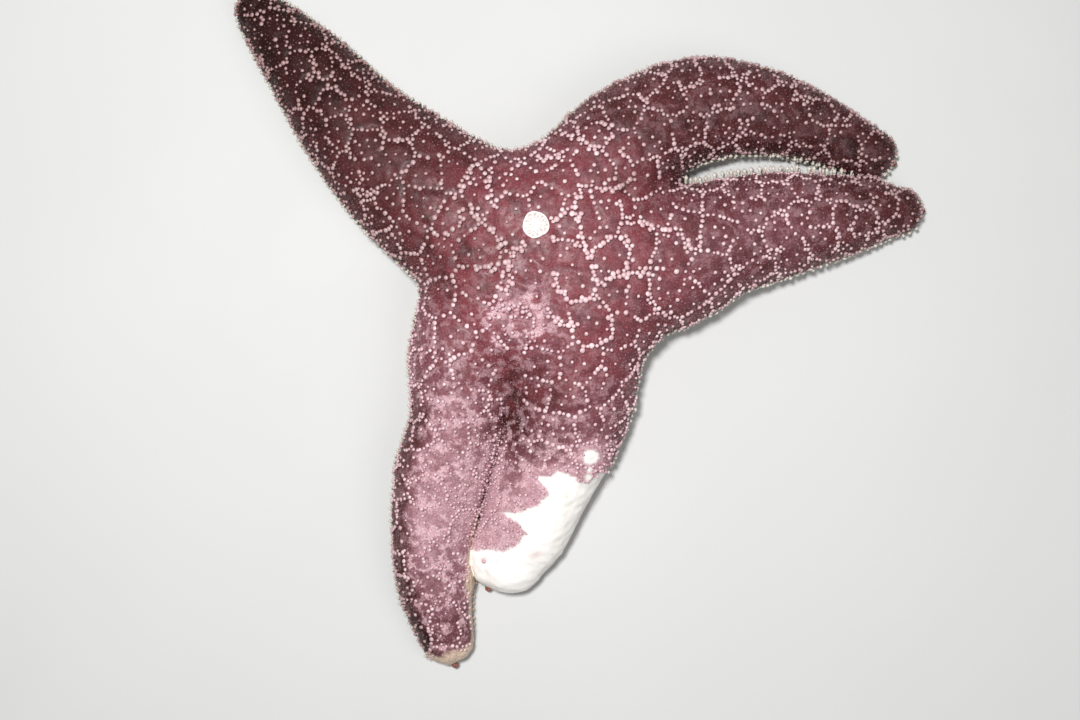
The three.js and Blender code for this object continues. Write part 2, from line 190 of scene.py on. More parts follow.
def plan_of(points):
    """All arms' views of the points stacked, with the blended share of the half width and sizes there."""
    views = [line.locate(points) for line in MIDLINES]
    arms = {key: np.stack([view[key] for view in views]) for key in views[0]}
    shares = arms["distance"] / arms["half"]
    least = shares.min(0)
    out = away(points, DISC) / BLEND_REACH
    blend = np.maximum(BLEND_MIDDLE * np.exp(-out * out), BLEND_LEAST)
    share = np.maximum(least - blend * np.log(np.exp((least - shares) / blend).sum(0)), 0)
    weights = np.exp((least - shares) / np.maximum(blend, LIKENESS))
    weights /= weights.sum(0)
    second = np.partition(shares, 1, axis=0)[1]
    touching = (1 - fade(*TOUCHING, second)) * fade(*TOUCHING_FROM, out)
    return {
        "coat": COAT * (1 - TOUCHING_CLOSER * touching),
        "arms": arms,
        "share": share,
        "weights": weights,
        "half": (arms["half"] * weights).sum(0),
        "height": (arms["height"] * weights).sum(0),
        "nearest": shares.argmin(0),
    }


def smooth_max(a, b, k):
    h = np.clip(0.5 + 0.5 * (a - b) / k, 0, 1)
    return b + (a - b) * h + k * h * (1 - h)


def body_field(share, half, height, z):
    """Below zero inside the body without its hollows."""
    widest = WIDEST_AT * height
    up = np.maximum(z - widest, 0) / (height - widest)
    top = half * ((share**DOME_POWER + up**DOME_POWER) ** (1 / DOME_POWER) - 1)
    side = np.maximum(share - FLAT_SHARE, 0) / (1 - FLAT_SHARE)
    down = np.maximum(widest - z, 0) / (widest + BELOW_FLOOR)
    under = half * (1 - FLAT_SHARE) * (np.hypot(side, down) - 1)
    return np.where(z >= widest, top, under)


def hollow_field(points, arms, z):
    """Below zero inside the mouth's recess and the grooves."""
    hollow = MOUTH_RADIUS * (np.hypot(away(points, DISC) / MOUTH_RADIUS, z / MOUTH_DEPTH) - 1)
    for i, line in enumerate(MIDLINES):
        along = arms["along"][i]
        half, depth = line.groove(along, arms["height"][i])
        past = np.maximum(along - line.groove_end + half, 0)
        groove = half * (np.sqrt((np.hypot(arms["distance"][i], past) / half) ** 2 + (z / depth) ** 2) - 1)
        hollow = np.minimum(hollow, groove)
    return hollow


def skin_field(points, z, plan):
    """Below zero under the skin, at one height for each point."""
    body = body_field(plan["share"], plan["half"], plan["height"], z) + plan["coat"]
    soled = smooth_max(body, SOLE - z, SOLE_BLEND)
    return smooth_max(soled, -hollow_field(points, plan["arms"], z), GROOVE_BLEND)


def skin_slope(points, step=0.05):
    """The skin field's slope and its value at the points."""
    field = lambda places: skin_field(places, places[:, 2], plan_of(places))
    here = field(points)
    slope = [(field(points + step * axis) - here) / step for axis in AXES]
    return np.stack(slope, -1), here


# ---- Meshes ----


def surface_net(values, first, step):
    """A closed net over the zero surface of a grid [z, y, x]: one vertex in each cell that it crosses."""
    inside = values < 0
    cells = tuple(n - 1 for n in values.shape)
    corners = [(dz, dy, dx) for dz in (0, 1) for dy in (0, 1) for dx in (0, 1)]
    at_corner = lambda corner: inside[tuple(slice(c, c + n) for c, n in zip(corner, cells))]
    count = sum(at_corner(corner).astype(np.int8) for corner in corners)
    cell = np.stack(np.nonzero((count > 0) & (count < len(corners))), -1)
    total = np.zeros(cell.shape)
    crossings = np.zeros(len(cell))
    for corner in corners:
        for axis in range(3):
            if corner[axis]:
                continue
            low, high = (values[tuple((cell + end).T)] for end in (corner, corner + AXES[axis]))
            crossed = (low < 0) != (high < 0)
            share = np.where(crossed, low / np.where(crossed, low - high, 1), 0)
            total += (corner + share[:, None] * AXES[axis]) * crossed[:, None]
            crossings += crossed
    places = (cell + total / crossings[:, None])[:, ::-1] * step + first
    number = np.full(cells, -1, np.int32)
    number[tuple(cell.T)] = np.arange(len(cell))
    quads = []
    for axis in range(3):
        u, w = (axis + 1) % 3, (axis + 2) % 3
        low, high = ([slice(1, n - 1) for n in values.shape] for _ in range(2))
        low[axis], high[axis] = slice(1, -2), slice(2, -1)
        a, b = inside[tuple(low)], inside[tuple(high)]
        at = np.stack(np.nonzero(a != b), -1) + 1
        outward = a[tuple((at - 1).T)]
        around = (AXES[u] + AXES[w], AXES[w], 0, AXES[u])
        ring = np.stack([number[tuple((at - back).T)] for back in around], -1)
        ring[outward] = ring[outward][:, ::-1]
        quads.append(ring)
    return places, np.vstack(quads)


def add_object(name, data, at=(0, 0, 0)):
    added = bpy.data.objects.new(name, data)
    added.location = Vector(at) * MM
    bpy.context.scene.collection.objects.link(added)
    return added


def add_mesh(name, places_mm, faces, uv=None, floats=None):
    """A mesh object from places in millimetres and faces that are all triangles or all quads."""
    mesh = bpy.data.meshes.new(name)
    faces = np.asarray(faces, np.int32)
    mesh.vertices.add(len(places_mm))
    mesh.vertices.foreach_set("co", (np.asarray(places_mm, float) * MM).ravel())
    mesh.loops.add(faces.size)
    mesh.loops.foreach_set("vertex_index", faces.ravel())
    mesh.polygons.add(len(faces))
    mesh.polygons.foreach_set("loop_start", np.arange(0, faces.size, faces.shape[1], dtype=np.int32))
    mesh.polygons.foreach_set("use_smooth", np.ones(len(faces), bool))
    mesh.update(calc_edges=True)
    for key, values in (floats or {}).items():
        attribute = mesh.attributes.new(key, "FLOAT", "POINT")
        attribute.data.foreach_set("value", np.asarray(values, np.float32))
    if uv is not None:
        layer = mesh.uv_layers.new(name="OFBake")
        layer.uv.foreach_set("vector", np.asarray(uv, np.float32).ravel())
    mesh.validate()
    return add_object(name, mesh)


def finished(piece, material):
    """Gives the piece its material and its body."""
    piece.data.materials.append(material)
    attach(piece, "root")
    return piece


def box_mm(node):
    """Low and high corner of a node of the frame, in millimetres."""
    return [np.array(corner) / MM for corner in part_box(node)]


# ---- The unwrap: each arm, with its share of the disc, is a band along it and round its girth ----

BAND_CORNERS = np.array([(0, 0), (0.5, 0), (0, 1 / 3), (0.5, 1 / 3), (0, 2 / 3)])
BAND_MARGIN = (0.005, 0.004)
BAND_LENGTH, BAND_GIRTH = 0.49, 0.325
BAND_LENGTH_USED, GIRTH_START, GIRTH_USED = 0.97, 0.03, 0.94
LONGEST = (LENGTHS + CAPS * np.pi / 2).max()
TUFT = 0.003  # how wide each small piece's own patch is on the unwrap
MOUTH_UNWRAP = (0.52, 0.70, 0.2, 0.1)  # u, v and the two sizes of the mouth's own patch
SIEVE_UNWRAP = (0.80, 0.75, 0.06)  # middle u, v and radius


def unwrap(arms, z, arm, at=None):
    """Places on the unwrap of the points numbered at, or of all, each seen from its own arm."""
    at = np.arange(len(z)) if at is None else at
    along, across, half, height = (arms[key][arm, at] for key in ("along", "across", "half", "height"))
    past = np.clip((along - LENGTHS[arm]) / CAPS[arm], 0, 1)
    run = np.minimum(along, LENGTHS[arm]) + CAPS[arm] * np.arcsin(past)
    angle = np.arctan2((z[at] - WIDEST_AT * height) / (0.5 * height), across / half)
    girth = (angle / (2 * np.pi) + 0.25) % 1.0
    first = BAND_CORNERS[arm]
    u = first[..., 0] + BAND_MARGIN[0] + BAND_LENGTH * run / LONGEST * BAND_LENGTH_USED
    v = first[..., 1] + BAND_MARGIN[1] + BAND_GIRTH * (GIRTH_START + GIRTH_USED * girth)
    return np.stack([u, v], -1)


def skin_unwrap(plan, z, quads):
    """The unwrap at every corner of the skin's faces. A face lies whole in one arm's band."""
    arm = np.repeat(plan["nearest"][quads[:, 0]], 4)
    uv = unwrap(plan["arms"], z, arm, quads.ravel()).reshape(len(quads), 4, 2)
    span = BAND_GIRTH * GIRTH_USED
    v = uv[..., 1]
    uv[..., 1] = np.where(v - v.min(1, keepdims=True) > span / 2, v - span, v)
    return uv.reshape(-1, 2)


# ---- Markings: masks from 0 to 1 over any points of the surface ----

# Each arm's skin at three places along it: its tone, from deep maroon at 0 to pale mauve at 1, how wine
# red rather than mauve it is, and how strongly pale blotches cover it. Then the same for the disc.
MARK_AT = (0.32, 0.66, 1.0)
ARM_MARKS = {
    "tone": [(0.2, 0.07, -0.5), (0.22, 0.2, 0.02), (0.38, 0.42, 0.15), (0.48, 0.5, 1.2), (0.6, 0.92, 0.5)],
    "wine": [(0.35, 0.2, 0.05), (0.3, 0.2, 0.2), (0.3, 0.2, 0.2), (0.3, 0.1, 0.0), (0.25, 0.0, 0.0)],
    "blotch": [(0.05, 0, 0), (0.12, 0.12, 0.06), (0.2, 0.25, 0.12), (0.45, 0.62, 1.3), (0.72, 1.1, 0.85)],
}
DISC_MARKS = {"tone": 0.43, "wine": 0.95, "blotch": 0.10}
DISC_FADES = (24, 50)  # distances from the middle between which they give way to the arms'
TONE_UNEVEN, TONE_WAVES = 0.06, 22

# Painted light and shade on the disc: x, y, radius, and what each adds to the tone and to the blotches. The
# first is a painted highlight where the wet disc catches a glare. The second is painted shade on the disc's
# upper left, where the key light falls full.
LIGHT_AND_SHADE_SPOTS = [(-16.5, 0.5, 11.0, 0.38, 0.8), (-34.0, 22.0, 15.0, -0.30, 0.0)]
# A fold that arches over one pad, with a painted highlight along it. Also painted light in the valley where
# the two lower arms meet, which lightens its shade.
HIGHLIGHTED_FOLD = (
    (-24.5, -4.6), (-26.4, 2.5), (-22.8, 5.8), (-18.2, 6.4), (-13.6, 4.8), (-12.3, 1.0), (-13.6, -2.9),
)
FOLD_RADIUS, FOLD_RISE = 1.7, 0.6
SEAM = ((-24.0, -33.0), (-28.0, -48.0), (-31.0, -60.0))
LIGHT_STREAKS = [(HIGHLIGHTED_FOLD, FOLD_RADIUS, 0.34, 0.9), (SEAM, 3.2, 0.30, 0.4)]
# Painted shade in the creases and valleys that run in from the gaps between arms: points x, y, then radius
# and strength.
SHADED_CREASES = [
    ((30.0, 46.0), (22.0, 42.0), (12.6, 41.0), 5.0, 0.55),
    ((-21.0, -30.0), (-19.5, -20.0), (-20.0, -10.0), 6.6, 0.75),
    ((-20.5, -3.0), (-13.0, -8.0), (-10.0, -19.0), 5.5, 0.45),
]
CREASE_SHADE_STRENGTH = 0.75

# The bare white patch on the lower middle arm: its uneven edge on the upper side, then round beyond the
# arm's tip and flank, where the arm itself ends.
PATCH_OUTLINE = [
    (6.2, -42.8), (4.2, -43.9), (2.4, -45.3), (0.4, -45.7), (-1.2, -45.1), (-2.4, -43.3), (-4.1, -42.4),
    (-6.6, -42.3), (-8.9, -43.1), (-13.1, -43.8), (-11.0, -45.3), (-9.4, -47.3), (-10.5, -49.8),
    (-13.4, -51.9), (-17.0, -53.5), (-23.3, -54.8), (-20.1, -55.8), (-17.6, -57.4), (-16.2, -60.1),
    (-17.8, -62.8), (-19.9, -64.9), (-23.5, -65.7), (-27.4, -65.3), (-30.7, -65.8), (-36.0, -66.0),
    (-36.0, -95.0), (20.0, -95.0), (20.0, -42.0),
]
# White spots beside it, x, y and radius, and scars within it, with how strongly each of them darkens.
PATCH_SPOTS = [(2.6, -37.8, 2.2), (2.3, -41.4, 0.8), (2.0, -43.8, 1.1)]
SCARS = [(-13.4, -66.9, 1.9, 0.35), (-28.6, -68.7, 0.9, 0.9), (-24.5, -69.2, 0.7, 0.5)]
PATCH_WOBBLE = ((0.45, 4, 5), (0.30, 1.6, 6))  # waves along its edge: height, length and seed
PATCH_FADES = (-0.5, 0.6)
RIM_RADIUS, RIM_TONE, RIM_BLOTCH = 4.0, 0.55, 0.7  # the paler skin round it

# The cream edge and tip of the lower left arm, and a painted shade on that arm's outer flank, which is
# turned away from the light.
CREAM_START, CREAM_TIP = 82.0, 6.8
CREAM_EDGE, CREAM_WIDENS = 0.86, 0.10  # where the edge starts across the arm, as a share of its half width
SHADED_FLANK_FROM, SHADED_FLANK_ALONG = (0.30, 0.66), (44, 62)
FLANK_SHADE_TONE, FLANK_SHADE_BLOTCH = -0.50, 0.8

LOW_SIDE = (0.10, 0.22)  # shares of the height between which the underside's colour ends
GROOVE_SIDE = (0.4, 1.6)  # the same round the grooves, in millimetres
WAVES_IN_OCTAVE = 7
WAVE_SUM = 4.2  # brings the sum of all waves to about 1


def waves(points, scale, seed, octaves=3):
    """Smooth seeded noise of about -1 to 1: sums of waves in random directions."""
    rng = np.random.default_rng(seed)
    total = np.zeros(len(points))
    for octave in range(octaves):
        size = scale / 2**octave
        for _ in range(WAVES_IN_OCTAVE):
            direction = rng.normal(size=3)
            direction *= 2 * np.pi / (size * np.linalg.norm(direction)) * rng.uniform(0.7, 1.3)
            total += np.sin(points @ direction + rng.uniform(0, 6.3)) * 0.5**octave
    return total / WAVE_SUM


def segment_gap(xy, a, b):
    """The distance from each point to the segment from a to b."""
    a, b = np.array(a), np.array(b)
    t = np.clip(((xy - a) @ (b - a)) / ((b - a) @ (b - a)), 0, 1)
    return np.linalg.norm(xy - a - t[:, None] * (b - a), axis=1)


def outline_gap(xy, outline):
    """The distance from each point to a closed outline, negative inside it."""
    gap, inside = np.full(len(xy), np.inf), np.zeros(len(xy), bool)
    x, y = xy.T
    for a, b in zip(outline, outline[1:] + outline[:1]):
        gap = np.minimum(gap, segment_gap(xy, a, b))
        crossed = (a[1] > y) != (b[1] > y)
        inside ^= crossed & (x < a[0] + (b[0] - a[0]) * (y - a[1]) / ((b[1] - a[1]) or 1.0))
    return np.where(inside, -gap, gap)


def patch_gap(points, plan):
    """The distance to the white patch's uneven edge, negative inside it and endless on the other arms."""
    spots = np.min([away(points, spot) - spot[2] for spot in PATCH_SPOTS], 0)
    wobble = sum(height * waves(points, length, seed) for height, length, seed in PATCH_WOBBLE)
    gap = np.minimum(outline_gap(points[:, :2], PATCH_OUTLINE) + wobble, spots + 0.4 * wobble)
    return np.where(plan["nearest"] == LOWER_MIDDLE, gap, np.inf)


def patch_mask(points, plan):
    return 1 - fade(*PATCH_FADES, patch_gap(points, plan))


def near(points, place):
    """1 at a place x, y, fading out over its radius."""
    return np.exp(-((away(points, place) / place[2]) ** 2))


def line_mask(points, stations, radius):
    """1 on the line through the stations, fading out over the radius."""
    gaps = [segment_gap(points[:, :2], a, b) for a, b in zip(stations[:-1], stations[1:])]
    return np.exp(-((np.min(gaps, 0) / radius) ** 2))


def crease_shade_mask(points):
    return np.max([strength * line_mask(points, line, radius) for *line, radius, strength in SHADED_CREASES], 0)


def cream_and_flank_shade(points, plan):
    """The cream edge and tip of the lower left arm, and a painted shade on that arm's outer flank."""
    line = MIDLINES[LOWER_LEFT]
    across, half, run = (plan["arms"][key][LOWER_LEFT] for key in ("across", "half", "along"))
    own = across / half
    tip = line.length + line.half[-1] - CREAM_TIP
    inner = CREAM_EDGE - CREAM_WIDENS * fade(CREAM_START + 10, CREAM_START + 28, run)
    edge = fade(inner, inner + 0.08, own + 0.03 * waves(points, 5, 9))
    edge = edge * fade(CREAM_START, CREAM_START + 6, run)
    end = fade(tip, tip + 2, run + 0.8 * waves(points, 6, 10))
    flank_shade = fade(*SHADED_FLANK_FROM, -own + 0.12 * waves(points, 9, 11)) * fade(*SHADED_FLANK_ALONG, run)
    on_arm = plan["nearest"] == LOWER_LEFT
    return np.maximum(edge, end) * on_arm, flank_shade * on_arm


def markings(points, plan):
    """The masks that colour the skin and all that grows on it."""
    arms, marks = plan["arms"], {}
    in_disc = 1 - fade(*DISC_FADES, away(points, DISC))
    for key, table in ARM_MARKS.items():
        rows = [np.interp(arms["along"][i] / LENGTHS[i], MARK_AT, row) for i, row in enumerate(table)]
        marks[key] = (plan["weights"] * rows).sum(0)
        marks[key] += (DISC_MARKS[key] - marks[key]) * in_disc
    # Painted shade: the tone darkens in the creases and valleys between the arms, where shade falls.
    marks["tone"] *= 1 - CREASE_SHADE_STRENGTH * crease_shade_mask(points)
    marks["tone"] += TONE_UNEVEN * waves(points, TONE_WAVES, 3)
    # Painted highlight and painted shade of the spots, the painted highlight along the fold, painted light
    # on the seam, and then the paler rim round the white patch.
    added = [(near(points, spot), *spot[3:]) for spot in LIGHT_AND_SHADE_SPOTS]
    added += [(line_mask(points, line, radius), *sizes) for line, radius, *sizes in LIGHT_STREAKS]
    gap = patch_gap(points, plan)
    added.append((np.exp(-((np.maximum(gap, 0) / RIM_RADIUS) ** 2)), RIM_TONE, RIM_BLOTCH))
    for mask, tone, blotch in added:
        marks["tone"] += tone * mask
        marks["blotch"] += blotch * mask
    marks["cream"], flank_shade = cream_and_flank_shade(points, plan)
    # Painted shade on the lower left arm's steep outer flank: a darker tone and fewer pale blotches.
    marks["tone"] += FLANK_SHADE_TONE * flank_shade
    marks["blotch"] *= 1 - FLANK_SHADE_BLOTCH * flank_shade
    low = 1 - fade(*LOW_SIDE, points[:, 2] / plan["height"])
    groove = 1 - fade(*GROOVE_SIDE, hollow_field(points, arms, points[:, 2]))
    marks["under"] = np.maximum(low, groove)
    marks["patch"] = (1 - fade(*PATCH_FADES, gap)) * (1 - 0.9 * marks["under"])
    for scar in SCARS:
        marks["patch"] *= 1 - scar[3] * near(points, scar)
    return marks


# ---- The skin's surface, its relief and the places on it ----

# Middles of the reddish pads that bulge between the rows of spines on the disc.
DISC_PADS = [
    (3.7, 56.9), (-10.0, 35.4), (8.3, 34.8), (8.3, 20.8), (-3.0, 19.6), (-4.7, 12.1), (-16.5, 16.3),
    (8.3, 9.6), (2.1, 1.1), (-8.6, -1.1), (-19.1, -2.5), (-28.9, 11.6), (-29.5, 22.3), (-19.9, 32.1),
    (-6.1, 41.3), (2.7, 44.8), (16.6, 24.3), (16.3, 8.0), (11.3, -1.6), (23.3, 9.8), (21.1, 33.2),
    (-10.6, 20.8), (-27.3, 38.6), (-17.7, 41.4), (-31.8, 4.6), (-24.8, -6.8), (-12.0, -11.0),
    (-0.6, -11.0), (16.5, 41.7), (-42.0, 19.0), (-34.8, 44.6),
]
PAD_SPACING = [(30, 8.6), (60, 7.6), (115, 5.8)]  # distance from the middle, distance between pads
PADS_ABOVE = 0.3  # share of the height
PAD_RISE, ARM_RISE = 0.5, 0.3  # how high the pads stand on the disc and on the arms
PAD_SLOPE = 4.0  # how far from a line of the net a pad is at its full height
RISE_FADES, UPPER_SIDE = (35, 60), (0.25, 0.5)
FOLDS = ((0.16, 7, 21), (0.10, 2.6, 22))  # height, length and seed
FOLDS_BELOW = 0.35  # how much of the folds is left on the underside
LINE_PALER, LINE_WIDTH = 0.10, (0.3, 1.6)  # the skin on the net's lines
POINTS_AT_ONCE = 6000
HALVINGS = 18  # steps in the search for the skin's height


def skin_surface():
    """The bare skin before relief: places and quads."""
    step = SKIN_GRID
    boxes = np.array([box_mm(name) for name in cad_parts])
    low, high = boxes[:, 0].min(0) - 3 * step, boxes[:, 1].max(0) + 3 * step
    axes = [np.arange(a, b, step) for a, b in zip(low, high)]
    gx, gy = np.meshgrid(axes[0], axes[1])
    xy = np.stack([gx.ravel(), gy.ravel()], -1)
    plan = plan_of(xy)
    values = np.stack([skin_field(xy, np.full(len(xy), z), plan).reshape(gx.shape) for z in axes[2]])
    places, quads = surface_net(values, np.array([a[0] for a in axes]), step)
    slope, here = skin_slope(places)
    move = slope * (here / np.maximum((slope**2).sum(-1), 0.2))[:, None]
    size = np.linalg.norm(move, axis=1, keepdims=True)
    return places - move * np.minimum(1, 0.5 * step / np.maximum(size, 1e-6)), quads


def on_top(xy):
    """The places of the bare skin straight above the points."""
    xy = np.asarray(xy, float)
    plan = plan_of(xy)
    low, high = WIDEST_AT * plan["height"], plan["height"]
    for _ in range(HALVINGS):
        middle = (low + high) / 2
        inside = skin_field(xy, middle, plan) < 0
        low, high = np.where(inside, middle, low), np.where(inside, high, middle)
    return np.column_stack([xy, low])


def darts(points, spacing, order, kept=()):
    """The points that stay spacing apart from each other and from those kept, taken in the given order."""
    spacing = np.broadcast_to(spacing, len(points))
    size = float(spacing.max())
    around = [(x, y, z) for x in (-1, 0, 1) for y in (-1, 0, 1) for z in (-1, 0, 1)]
    grid = {}
    for place in kept:
        grid.setdefault(tuple((place // size).astype(int).tolist()), []).append(tuple(place.tolist()))
    cells = (points // size).astype(int).tolist()
    listed = points.tolist()
    chosen = []
    for i in order.tolist():
        px, py, pz = listed[i]
        cx, cy, cz = cells[i]
        gap = float(spacing[i]) ** 2
        rivals = (q for x, y, z in around for q in grid.get((cx + x, cy + y, cz + z), ()))
        if not any((px - x) ** 2 + (py - y) ** 2 + (pz - z) ** 2 < gap for x, y, z in rivals):
            grid.setdefault((cx, cy, cz), []).append((px, py, pz))
            chosen.append(i)
    return points[np.array(chosen, int)]


def sample_surface(places, quads, count, seed=1):
    """Points spread evenly over the quads."""
    rng = np.random.default_rng(seed)
    a, b, c, d = (places[quads[:, k]] for k in range(4))
    area = np.linalg.norm(np.cross(c - a, d - b), axis=1) / 2
    pick = rng.choice(len(quads), count, p=area / area.sum())
    u, v = rng.random((2, count, 1))
    return (a[pick] * (1 - u) + b[pick] * u) * (1 - v) + (d[pick] * (1 - u) + c[pick] * u) * v


def pad_middles(points):
    """The listed pads of the disc, then more of them over the arms."""
    rng = np.random.default_rng(11)
    disc_pads = on_top(DISC_PADS)
    spacing = np.interp(away(points, DISC), *zip(*PAD_SPACING))
    upper = np.nonzero(points[:, 2] > PADS_ABOVE * plan_of(points)["height"])[0]
    return np.vstack([disc_pads, darts(points, spacing, rng.permutation(upper), disc_pads)])


def net_edge(points, middles):
    """How much farther the second and third nearest pads are than the nearest, in millimetres.
    The first is 0 on a line of the net, and the second is 0 where three lines meet."""
    edge, knot = np.empty((2, len(points)))
    half_square = (middles**2).sum(1) / 2
    for start in range(0, len(points), POINTS_AT_ONCE):
        part = slice(start, start + POINTS_AT_ONCE)
        block = points[part]
        square = (block**2).sum(1)[:, None] + 2 * (half_square - block @ middles.T)
        nearest = np.sqrt(np.partition(square, 2, axis=1)[:, :3].clip(0))
        nearest.sort(1)
        edge[part] = nearest[:, 1] - nearest[:, 0]
        knot[part] = nearest[:, 2] - nearest[:, 0]
    return edge, knot


def relief_of(points, plan, edge):
    """How far the skin stands off the smooth body: pads between the net's lines, and soft folds."""
    upper = fade(*UPPER_SIDE, points[:, 2] / plan["height"])
    rise = ARM_RISE + (PAD_RISE - ARM_RISE) * (1 - fade(*RISE_FADES, away(points, DISC)))
    pads = rise * fade(0.0, PAD_SLOPE, edge) * upper * (1 - patch_mask(points, plan))
    folds = sum(height * waves(points, length, seed) for height, length, seed in FOLDS)
    arch = FOLD_RISE * line_mask(points, HIGHLIGHTED_FOLD, FOLD_RADIUS)
    return pads + (arch + folds) * (FOLDS_BELOW + (1 - FOLDS_BELOW) * upper)


def survey(points, middles):
    """What is known at bare points of the skin, with their places on the finished skin as roots."""
    plan = plan_of(points)
    edge, knot = net_edge(points, middles)
    normal = unit(skin_slope(points)[0])
    return {
        "points": points,
        "root": points + normal * relief_of(points, plan, edge)[:, None],
        "normal": normal,
        "plan": plan,
        "out": away(points, DISC),
        "share": points[:, 2] / plan["height"],
        "depth": hollow_field(points, plan["arms"], points[:, 2]),
        "marks": markings(points, plan),
        "crease_shade": crease_shade_mask(points),
        "uv": unwrap(plan["arms"], points[:, 2], plan["nearest"]),
        "edge": edge,
        "knot": knot,
    }


def make_skin(places, quads, middles):
    at = survey(places, middles)
    marks = at["marks"]
    marks["tone"] += LINE_PALER * (1 - fade(*LINE_WIDTH, at["edge"])) * (1 - marks["under"])
    uv = skin_unwrap(at["plan"], places[:, 2], quads)
    piece = finished(add_mesh("skin", at["root"], quads, uv, marks), skin_material())
    arms = [f"arm_{name}_{part}" for name in ARM_NAMES for part in ("base", "middle", "tip")]
    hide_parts("disc", *arms)


# ---- Small pieces that are repeated many times ----

ROOT_SUNK = 0.25  # how deep each piece's foot lies in the skin
FLOOR_GAP = 0.05  # nothing lies lower than this
HEAD_BULGE, UNEVEN_FORM = 0.35, 0.07


def ring_faces(count, sides):
    """Triangles over a stack of rings, closed by a point below the first and one above the last."""
    k = np.arange(count * sides).reshape(count, sides)
    after = np.roll(k, -1, 1)
    walls = [(k[:-1], after[:-1], after[1:]), (k[:-1], after[1:], k[1:])]
    foot, head = (np.full(sides, count * sides + pole) for pole in (0, 1))
    ends = [(foot, after[0], k[0]), (k[-1], after[-1], head)]
    return np.vstack([np.stack(corners, -1).reshape(-1, 3) for corners in walls + ends])


def turned(profile, sides):
    """A closed turned form, from (radius, height) points: places, faces, rise and flat layout."""
    ring = circle(2 * np.pi * np.arange(sides) / sides)
    rise = np.linspace(0, 1, len(profile) + 1)[:-1]
    rings = [np.column_stack([r * ring, np.full(sides, h)]) for r, h in profile]
    last_radius, last_height = profile[-1]
    ends = [[0, 0, profile[0][1]], [0, 0, last_height + HEAD_BULGE * last_radius]]
    layout = (0.5 - 0.4 * rise)[:, None, None] * ring
    layout = np.vstack([layout.reshape(-1, 2), np.zeros((2, 2))])
    rises = np.append(np.repeat(rise, sides), [0, 1])
    return np.vstack([*rings, ends]), ring_faces(len(profile), sides), rises, layout


SPINE_FORM = turned([(0.62, 0.0), (0.50, 0.30), (0.62, 0.55), (0.98, 0.74), (0.92, 0.90), (0.50, 1.0)], 8)
GILL_FORM = turned([(0.9, 0.0), (0.85, 0.45), (0.5, 0.85)], 5)
FINGER_FORM = turned([(0.8, 0.0), (0.85, 0.35), (0.95, 0.7), (0.75, 0.92), (0.35, 1.0)], 7)
BEAD_FORM = turned([(0.8, 0.0), (1.0, 0.35), (0.9, 0.7), (0.5, 0.93)], 9)
FOOT_FORM = turned(
    [(0.75, 0.0), (0.62, 0.3), (0.55, 0.6), (0.62, 0.82), (1.15, 0.9), (1.2, 0.98), (0.7, 1.0)], 8
)


def plant(name, form, roots, axes, widths, lengths, marks, uv, seed):
    """One joined mesh of the form at every root, its foot on the root and its height along the axis."""
    rng = np.random.default_rng(seed)
    shape, faces, rises, layout = form
    axes = unit(axes)
    helper = np.where(np.abs(axes[:, :1]) < 0.8, [[1.0, 0, 0]], [[0, 1.0, 0]])
    right = unit(np.cross(axes, helper))
    front = np.cross(axes, right)
    turn = rng.uniform(0, 2 * np.pi, len(roots))
    side = np.cos(turn)[:, None] * right + np.sin(turn)[:, None] * front
    other = np.cross(axes, side)
    count, size = len(roots), len(shape)
    wide = widths[:, None, None] * (1 + UNEVEN_FORM * rng.normal(size=(count, size, 1)))
    x, y, z = (shape[None, :, k, None] for k in range(3))
    places = roots[:, None] + wide * (x * side[:, None] + y * other[:, None])
    places += lengths[:, None, None] * z * axes[:, None]
    places[..., 2] = np.maximum(places[..., 2], FLOOR_GAP)
    all_faces = (faces[None] + (np.arange(count) * size)[:, None, None]).reshape(-1, 3)
    patches = (uv[:, None] + TUFT * layout[None]).reshape(-1, 2)
    floats = {key: np.repeat(value, size) for key, value in marks.items()}
    floats["rise"] = np.tile(rises, count)
    floats["own"] = np.repeat(rng.random(count), size)
    return add_mesh(name, places.reshape(-1, 3), all_faces, patches[all_faces.ravel()], floats)


def plant_by_arm(name, form, at, keep, lean, widths, lengths, material, seed):
    """Plants the pieces whose mask is true, as one mesh for each arm."""
    for i, arm in enumerate(ARM_NAMES):
        chosen = keep & (at["plan"]["nearest"] == i)
        if not chosen.any():
            continue
        axes = at["normal"][chosen] + lean[chosen]
        marks = {key: value[chosen] for key, value in at["marks"].items()}
        roots = at["root"][chosen] - at["normal"][chosen] * ROOT_SUNK
        sizes = (widths[chosen], lengths[chosen])
        piece = plant(f"{name}_{arm}", form, roots, axes, *sizes, marks, at["uv"][chosen], seed + i)
        finished(piece, material)


# ---- Materials ----


